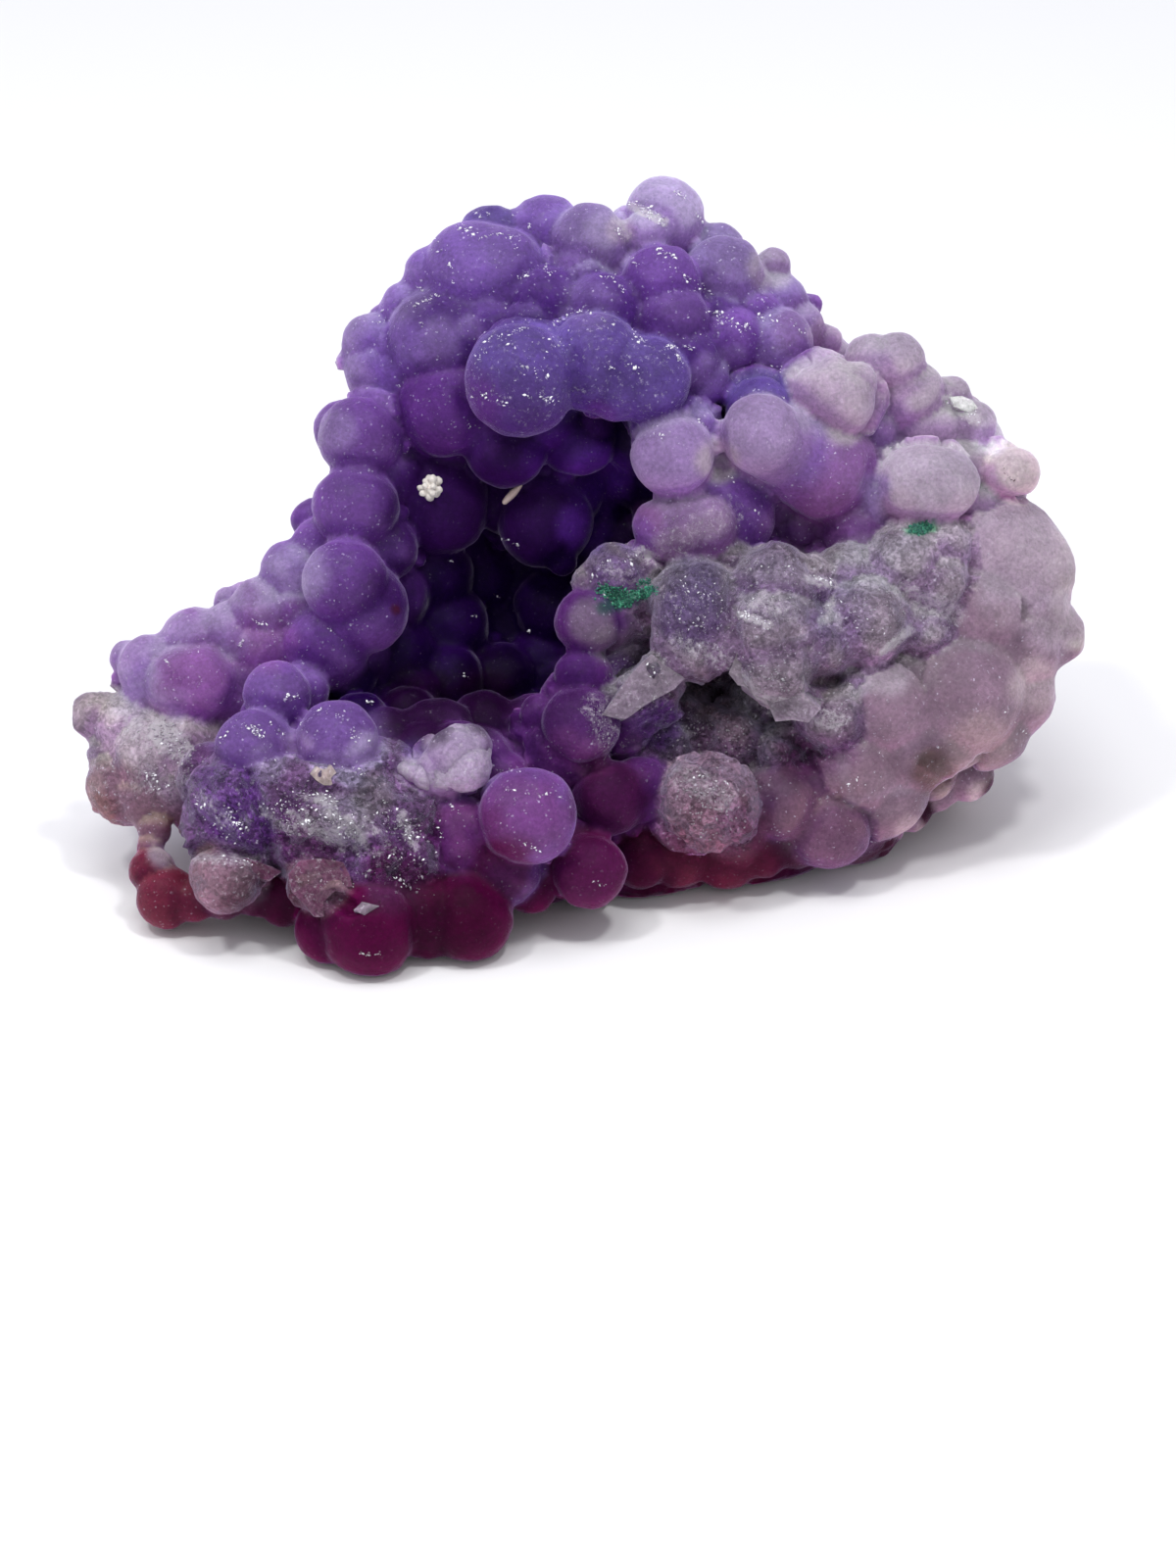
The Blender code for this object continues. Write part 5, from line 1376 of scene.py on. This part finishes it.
def make_flakes(tree):
    """Thin broken plates, each with a cracked top and sides that go down into the stone."""
    draw = random.Random(FLAKE_SEED)
    points, faces, shades = [], [], []
    for lift, tone, *spots in FLAKES:
        corners = list(zip(spots[0::2], spots[1::2]))
        middle = tuple(sum(values) / len(corners) for values in zip(*corners))
        landings = [landed(tree, *spot) for spot in (middle, *corners)]
        places = [place for place, _normal, _face in landings]
        if any(place is None for place in places):
            continue
        out = (landings[0][1] + Vector(VIEW)).normalized()
        faces += flake_faces(len(points), len(corners))
        more_points, more_shades = flake_points(places, out, lift, TONES[tone], draw)
        points += more_points
        shades += more_shades
    data = mesh_from_arrays("broken_flakes", kept_in_box(np.array(points)), np.array(faces))
    piece = add_object("broken_flakes", data)
    crack(piece)
    spots = mesh_points(data)
    write_attribute(data, "tone", nearest_tones(spots, np.array(points), shades))
    write_steady(data, {"grain": 0.35, "frost": 0.35, "gleam": 0.2})
    return piece


def write_steady(data, values):
    """Store numbers that are the same at every vertex."""
    for name, value in values.items():
        write_attribute(data, name, np.full(len(data.vertices), value))


def nearest_tones(points, spots, shades):
    far = np.linalg.norm(points[:, None, :] - spots[None, :, :], axis=2)
    weight = 1.0 / (far + 0.05) ** 3
    return weight @ np.array(shades) / weight.sum(axis=1)[:, None]


def crack(piece):
    """Split the faces, shift the new corners a little and keep the plates' edges sharp."""
    with edited(piece.data) as mesh:
        for _ in range(CRACK_CUTS):
            bmesh.ops.subdivide_edges(mesh, edges=mesh.edges, cuts=1, use_grid_fill=True)
            bmesh.ops.triangulate(mesh, faces=mesh.faces)
        for vert in mesh.verts:
            vert.co += noise.noise_vector(vert.co / MM / CRACK_SIZE) * CRACK_SHIFT * MM
        bmesh.ops.recalc_face_normals(mesh, faces=mesh.faces)
    piece.data.shade_smooth()
    piece.data.set_sharp_from_angle(angle=CRACK_ANGLE)


class Nodes:
    """Short ways to add, feed and link the nodes of a material or a world."""

    def __init__(self, owner):
        owner.use_nodes = True
        self.tree = owner.node_tree
        self.place = None

    def add(self, kind, **settings):
        node = self.tree.nodes.new(kind)
        for key, value in settings.items():
            setattr(node, key, value)
        return node

    def feed(self, node, inputs):
        """Link or set each input: a socket, a number, or a colour or direction as a tuple."""
        for key, value in inputs.items():
            socket = node.inputs[key]
            if isinstance(value, bpy.types.NodeSocket):
                self.tree.links.new(value, socket)
            elif socket.type == "RGBA":
                socket.default_value = (*value, 1.0)
            else:
                socket.default_value = value

    def coordinates(self, output="Object"):
        """One node of coordinates, shared by all that ask for it."""
        if self.place is None:
            self.place = self.add("ShaderNodeTexCoord")
        return self.place.outputs[output]

    def attribute(self, name, output="Fac"):
        return self.add("ShaderNodeAttribute", attribute_name=name).outputs[output]

    def maths(self, operation, *values, clamp=False):
        node = self.add("ShaderNodeMath", operation=operation, use_clamp=clamp)
        self.feed(node, dict(enumerate(values)))
        return node.outputs[0]

    def vectors(self, operation, inputs, output=0):
        node = self.add("ShaderNodeVectorMath", operation=operation)
        self.feed(node, inputs)
        return node.outputs[output]

    def mix(self, factor, first, second, blend="MIX"):
        node = self.add("ShaderNodeMix", data_type="RGBA", blend_type=blend)
        self.feed(node, {0: factor, 6: first, 7: second})
        return node.outputs[2]

    def noise(self, size, **inputs):
        """Noise with features of a size in millimetres."""
        node = self.add("ShaderNodeTexNoise")
        self.feed(node, {"Vector": self.coordinates(), "Scale": 1.0 / (size * MM), **inputs})
        return node.outputs[0]

    def cells(self, size):
        """The random colour of each cell, as a colour and as its separate channels."""
        node = self.add("ShaderNodeTexVoronoi", feature="F1")
        self.feed(node, {"Vector": self.coordinates(), "Scale": 1.0 / (size * MM)})
        channels = self.add("ShaderNodeSeparateColor")
        self.feed(channels, {0: node.outputs["Color"]})
        return node.outputs["Color"], channels.outputs

    def bump(self, **inputs):
        node = self.add("ShaderNodeBump")
        self.feed(node, inputs)
        return node.outputs["Normal"]

    def ramp(self, factor, *stops):
        """Colours at places from 0 to 1."""
        node = self.add("ShaderNodeValToRGB")
        self.feed(node, {"Fac": factor})
        for element, (position, colour) in zip(node.color_ramp.elements, stops):
            element.position = position
            element.color = (*colour, 1.0)
        return node.outputs["Color"]


def new_material(name):
    material = bpy.data.materials.new(name)
    return material, Nodes(material)


def body_colour(nodes, grain, mottle, grit, facets, cells):
    """Faint clouds, a fine mottle, and facets of unlike shade that are bolder where it is rough."""
    maths, mix = nodes.maths, nodes.mix
    cloudy = maths("MULTIPLY_ADD", nodes.noise(2.4, Detail=3, Roughness=0.55), 0.9, 0.55)
    roughly = maths("MULTIPLY_ADD", grain, 1.5, -0.3, clamp=True)
    mottling = maths("MULTIPLY_ADD", grain, 0.6, 0.9)
    mottled = maths("MULTIPLY_ADD", maths("ADD", mottle, -0.5), mottling, 1.0)
    contrast = maths("MULTIPLY_ADD", roughly, 1.0, 0.2)
    sugary = maths("MULTIPLY_ADD", maths("ADD", facets[0], -0.5), contrast, 1.0)
    shade = maths("MULTIPLY", maths("MULTIPLY", cloudy, mottled), sugary)
    colour = mix(1.0, nodes.attribute("tone", "Color"), shade, "MULTIPLY")

    # where the stone is rough its grains are lighter than the pits between them
    pitted = maths("MULTIPLY", maths("ADD", grit, -0.5), maths("MULTIPLY", roughly, 3.2))
    colour = mix(1.0, colour, maths("ADD", pitted, 1.0), "MULTIPLY")

    # broken crystal faces: each cell has its own shade
    broken = mix(1.0, colour, maths("MULTIPLY_ADD", cells[0], 0.8, 0.6), "MULTIPLY")
    return mix(grain, colour, broken)


def frost_over(nodes, colour, grit):
    """Chalky frost and thin veins where the frost attribute asks for them."""
    maths = nodes.maths
    frost = nodes.attribute("frost")
    vein_spread = nodes.noise(0.7, Detail=7, Roughness=0.7, Distortion=0.8)
    frost_grain = maths("ADD", grit, maths("MULTIPLY_ADD", frost, 0.25, -0.63))
    patches = maths("MULTIPLY", frost_grain, 7.0, clamp=True)
    from_vein = maths("ABSOLUTE", maths("ADD", vein_spread, -0.5))
    vein = maths("MULTIPLY_ADD", from_vein, -22.0, 1.0, clamp=True)
    veined = maths("MULTIPLY", vein, maths("MULTIPLY_ADD", frost, 1.3, -0.35, clamp=True))
    amount = maths("MAXIMUM", maths("MULTIPLY", patches, 0.75), maths("MULTIPLY", veined, 0.8))
    return nodes.mix(amount, colour, srgb(*FROST_COLOUR))


def painted_glints_over(nodes, colour, grit, gleam):
    """Painted glints: a few small cells turn near white in the base colour, gathered where the grit is high.
    """
    maths = nodes.maths
    _sparks, channels = nodes.cells(0.1)
    sparse = maths("MULTIPLY", maths("ADD", channels[1], -0.94), 16.0, clamp=True)
    gathered = maths("MULTIPLY", maths("ADD", grit, -0.49), 8.0, clamp=True)
    painted_glint = maths("MULTIPLY", maths("MULTIPLY", sparse, gathered), maths("MULTIPLY", gleam, 2.6))
    return nodes.mix(painted_glint, colour, srgb(*PAINTED_GLINT_COLOUR))


def leaning(nodes, colour, normal, lean):
    """The normal, tilted by the cell's own random colour."""
    spread = nodes.vectors("MULTIPLY_ADD", {0: colour, 1: (2.0, 2.0, 2.0), 2: (-1.0, -1.0, -1.0)})
    scaled = nodes.vectors("SCALE", {0: spread, "Scale": lean})
    return nodes.vectors("NORMALIZE", {0: nodes.vectors("ADD", {0: scaled, 1: normal})})


def stone_material():
    """Clear purple stone, rough, frosted or broken where the mesh's attributes say so."""
    material, nodes = new_material("purple_chalcedony")
    maths = nodes.maths
    grain = nodes.attribute("grain")
    gleam = nodes.attribute("gleam")
    mottle = nodes.noise(0.22, Detail=5, Roughness=0.75)
    grit = nodes.noise(0.32, Detail=9, Roughness=0.8)
    facet_colour, facets = nodes.cells(0.15)
    cell_colour, cells = nodes.cells(0.6)
    colour = body_colour(nodes, grain, mottle, grit, facets, cells)
    # frost, then painted glints in the base colour
    colour = painted_glints_over(nodes, frost_over(nodes, colour, grit), grit, gleam)

    # fine pebbling everywhere, a coarser tooth and leaning faces where the stone is rough
    fine = nodes.bump(Strength=0.5, Distance=0.08 * MM, Height=mottle)
    coarse = nodes.bump(Strength=grain, Distance=0.3 * MM, Height=grit, Normal=fine)
    normal = leaning(nodes, cell_colour, coarse, maths("MULTIPLY", grain, 0.45))
    nodes.feed(nodes.tree.nodes["Principled BSDF"], {
        "Base Color": colour,
        "Roughness": maths("MULTIPLY_ADD", grain, 0.2, 0.5),
        "IOR": 1.46,
        "Specular IOR Level": 0.05,
        "Subsurface Weight": maths("MULTIPLY_ADD", grain, -1.3, 0.85, clamp=True),
        "Subsurface Radius": (1.0, 0.6, 1.1),
        "Subsurface Scale": 2.4 * MM,
        "Coat Weight": gleam,
        "Coat Roughness": 0.08,
        "Coat Normal": leaning(nodes, facet_colour, normal, 0.3),
        "Sheen Weight": 0.5,
        "Sheen Roughness": 0.2,
        "Sheen Tint": srgb(*SHEEN_COLOUR),
        "Normal": normal,
    })
    return material


def grain_material(name, colour, roughness):
    """A mineral grain: one colour with a fine mottle."""
    material, nodes = new_material(name)
    mottle = nodes.noise(0.25, Detail=4)
    nodes.feed(nodes.tree.nodes["Principled BSDF"], {
        "Base Color": nodes.ramp(mottle, (0.3, colour * GRAIN_SHADE), (0.7, colour)),
        "Roughness": roughness,
        "Subsurface Weight": 0.4,
        "Subsurface Radius": (1.0, 0.9, 0.9),
        "Subsurface Scale": 0.2 * MM,
    })
    return material


def crystal_material(name, roughness, subsurface):
    """Crystal coloured by the mesh's own tones, with a fine mottle."""
    material, nodes = new_material(name)
    shade = nodes.maths("MULTIPLY_ADD", nodes.noise(0.2, Detail=5), 1.0, 0.5)
    nodes.feed(nodes.tree.nodes["Principled BSDF"], {
        "Base Color": nodes.vectors("SCALE", {0: nodes.attribute("tone", "Color"), "Scale": shade}),
        "Roughness": roughness,
        "Subsurface Weight": subsurface,
        "Subsurface Radius": (1.0, 0.8, 1.0),
        "Subsurface Scale": 0.5 * MM,
    })
    return material


def dress(piece, material, smooth=True):
    if smooth:
        piece.data.shade_smooth()
    piece.data.materials.append(material)
    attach(piece, "root")


def lumpy_grain(name, balls, voxel, tooth):
    """Small balls fused into one lumpy grain."""
    piece = add_balls(name, *as_balls(balls), SKIN_DETAIL)
    fuse(piece, voxel)
    points = mesh_points(piece.data)
    away = unit(points - points.mean(axis=0))
    set_mesh_points(piece.data, points + away * (tooth * noise_at(points, 0.22, 3))[:, None])
    return piece


def make_crumb():
    """The popcorn-like white grain in the hollow."""
    draw = random.Random(CRUMB_SEED)
    balls = [(*CRUMB_CENTRE, CRUMB_RADIUS)]
    for direction in spiral(CRUMB_BALLS, 0.4):
        place = Vector(CRUMB_CENTRE) + direction * draw.uniform(0.4, 0.56)
        balls.append((*place, draw.uniform(0.15, 0.25)))
    return lumpy_grain("white_crumb_skin", balls, 0.04, 0.04)


def make_splinter():
    start, end = (Vector(point) for point in SPLINTER_ENDS)
    balls = []
    for i in range(SPLINTER_BALLS):
        share = i / (SPLINTER_BALLS - 1)
        radius = SPLINTER_RADIUS * (0.45 + 0.75 * math.sin(math.pi * (0.18 + 0.72 * share)))
        balls.append((*start.lerp(end, share), radius))
    return lumpy_grain("cream_splinter_skin", balls, 0.035, 0.02)


def make_knot():
    """The pale knot of small white lobes in front of the hollow."""
    piece = lumpy_grain("pale_knot_skin", KNOT_BALLS, 0.1, 0.05)
    cloud = noise_at(mesh_points(piece.data), 0.9, 3, 2.2)
    tone = TONES["nub white"] * (1.0 + 0.25 * cloud)[:, None]
    # painted light on the knot: darker and cooler on top, lighter and warmer underneath
    write_attribute(piece.data, "tone", painted_light_tone(tone, normals_of(piece)[:, 2]))
    write_steady(piece.data, {"grain": 0.25, "frost": 0.45, "gleam": 0.3})
    return piece


def make_floor():
    data = bpy.data.meshes.new("floor")
    with edited(data) as mesh:
        bmesh.ops.create_grid(mesh, x_segments=1, y_segments=1, size=FLOOR_SIZE)
    piece = add_object("floor", data)
    piece.location.z = -FLOOR_GAP
    material, nodes = new_material("pale_floor")
    nodes.feed(nodes.tree.nodes["Principled BSDF"], {
        "Base Color": FLOOR_COLOUR,
        "Roughness": 0.9,
        "Specular IOR Level": 0.2,
    })
    data.materials.append(material)


def add_area_light(name, place, size):
    """A round lamp that looks at the middle of the stone."""
    light = bpy.data.lights.new(name, "AREA")
    light.shape = "DISK"
    light.size = size
    light.energy = LAMP_POWER
    lamp = add_object(name, light)
    lamp.location = place
    direction = Vector(LAMP_TARGET) - lamp.location
    lamp.rotation_euler = direction.to_track_quat("-Z", "Y").to_euler()


def make_light():
    """A soft studio dome, brighter above and behind, with three lamps for the glints."""
    world = bpy.data.worlds.new("studio")
    nodes = Nodes(world)
    beyond = nodes.vectors("DOT_PRODUCT", {0: nodes.coordinates("Generated"), 1: DOME_TOP}, "Value")
    height = nodes.maths("MULTIPLY_ADD", beyond, 0.5, 0.5)
    nodes.feed(nodes.tree.nodes["Background"], {
        "Color": nodes.ramp(height, (0.1, DOME_LOW), (0.95, DOME_HIGH)),
        "Strength": DOME_POWER,
    })
    bpy.context.scene.world = world
    bpy.context.scene.view_settings.view_transform = "Standard"
    for name, place, size in LAMPS:
        add_area_light(name, place, size)


def make_camera():
    data = bpy.data.cameras.new("camera")
    data.lens = LENS
    data.sensor_width = SENSOR
    camera = add_object("camera", data)
    centre, _radius = to_world((0.0, FACE_CENTRE_UP, 0.0, 1.0))
    camera.location = centre + Vector(VIEW) * FACE_DISTANCE * MM
    camera.rotation_euler = (math.pi / 2.0 - FACE_TILT, 0.0, 0.0)
    bpy.context.scene.camera = camera


make_camera()
make_light()
make_floor()
stone = make_stone()
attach(stone, "root")
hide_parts("chalcedony")

tree = skin_tree(stone)
glints = [(*cluster, *SUGAR_LOOK) for cluster in SUGAR]
glints += [(*field, *GLINT_LOOK) for field in GLINTS]
# the sugary crystals run toward near white: painted glints on small real crystals
sugar = joined_crystals("sugar_crystals", tree, glints, shade_of_stone(stone, "glass"), SUGAR_SEED)
dress(sugar, crystal_material("glint_white_crystal", 0.2, 0.0), smooth=False)
druse = joined_crystals("druse_crystals", tree, DRUSES, shade_of_stone(stone, "chalk"), DRUSE_SEED)
dress(druse, crystal_material("broken_crystal", 0.3, 0.3), smooth=False)
patches = [(*patch, *GREEN_SIZES) for patch in GREEN_PATCHES]
green = joined_crystals("green_crust", tree, patches, shade_between("deep teal", "bright teal"), GREEN_SEED)
dress(green, crystal_material("teal_crystal", 0.3, 0.3), smooth=False)
specks = joined_crystals("dark_specks", tree, SPECKS, shade_between("speck black", "umber"), SPECK_SEED)
dress(specks, crystal_material("dark_speck", 0.5, 0.0), smooth=False)
knot = make_knot()
dress(knot, stone.data.materials[0])
flakes = make_flakes(tree)
dress(flakes, stone.data.materials[0], smooth=False)

crumb = make_crumb()
dress(crumb, grain_material("white_grain", srgb(*CRUMB_COLOUR), 0.7))
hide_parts("white_crumb")
splinter = make_splinter()
dress(splinter, grain_material("cream_grain", srgb(*SPLINTER_COLOUR), 0.5))
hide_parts("cream_splinter")
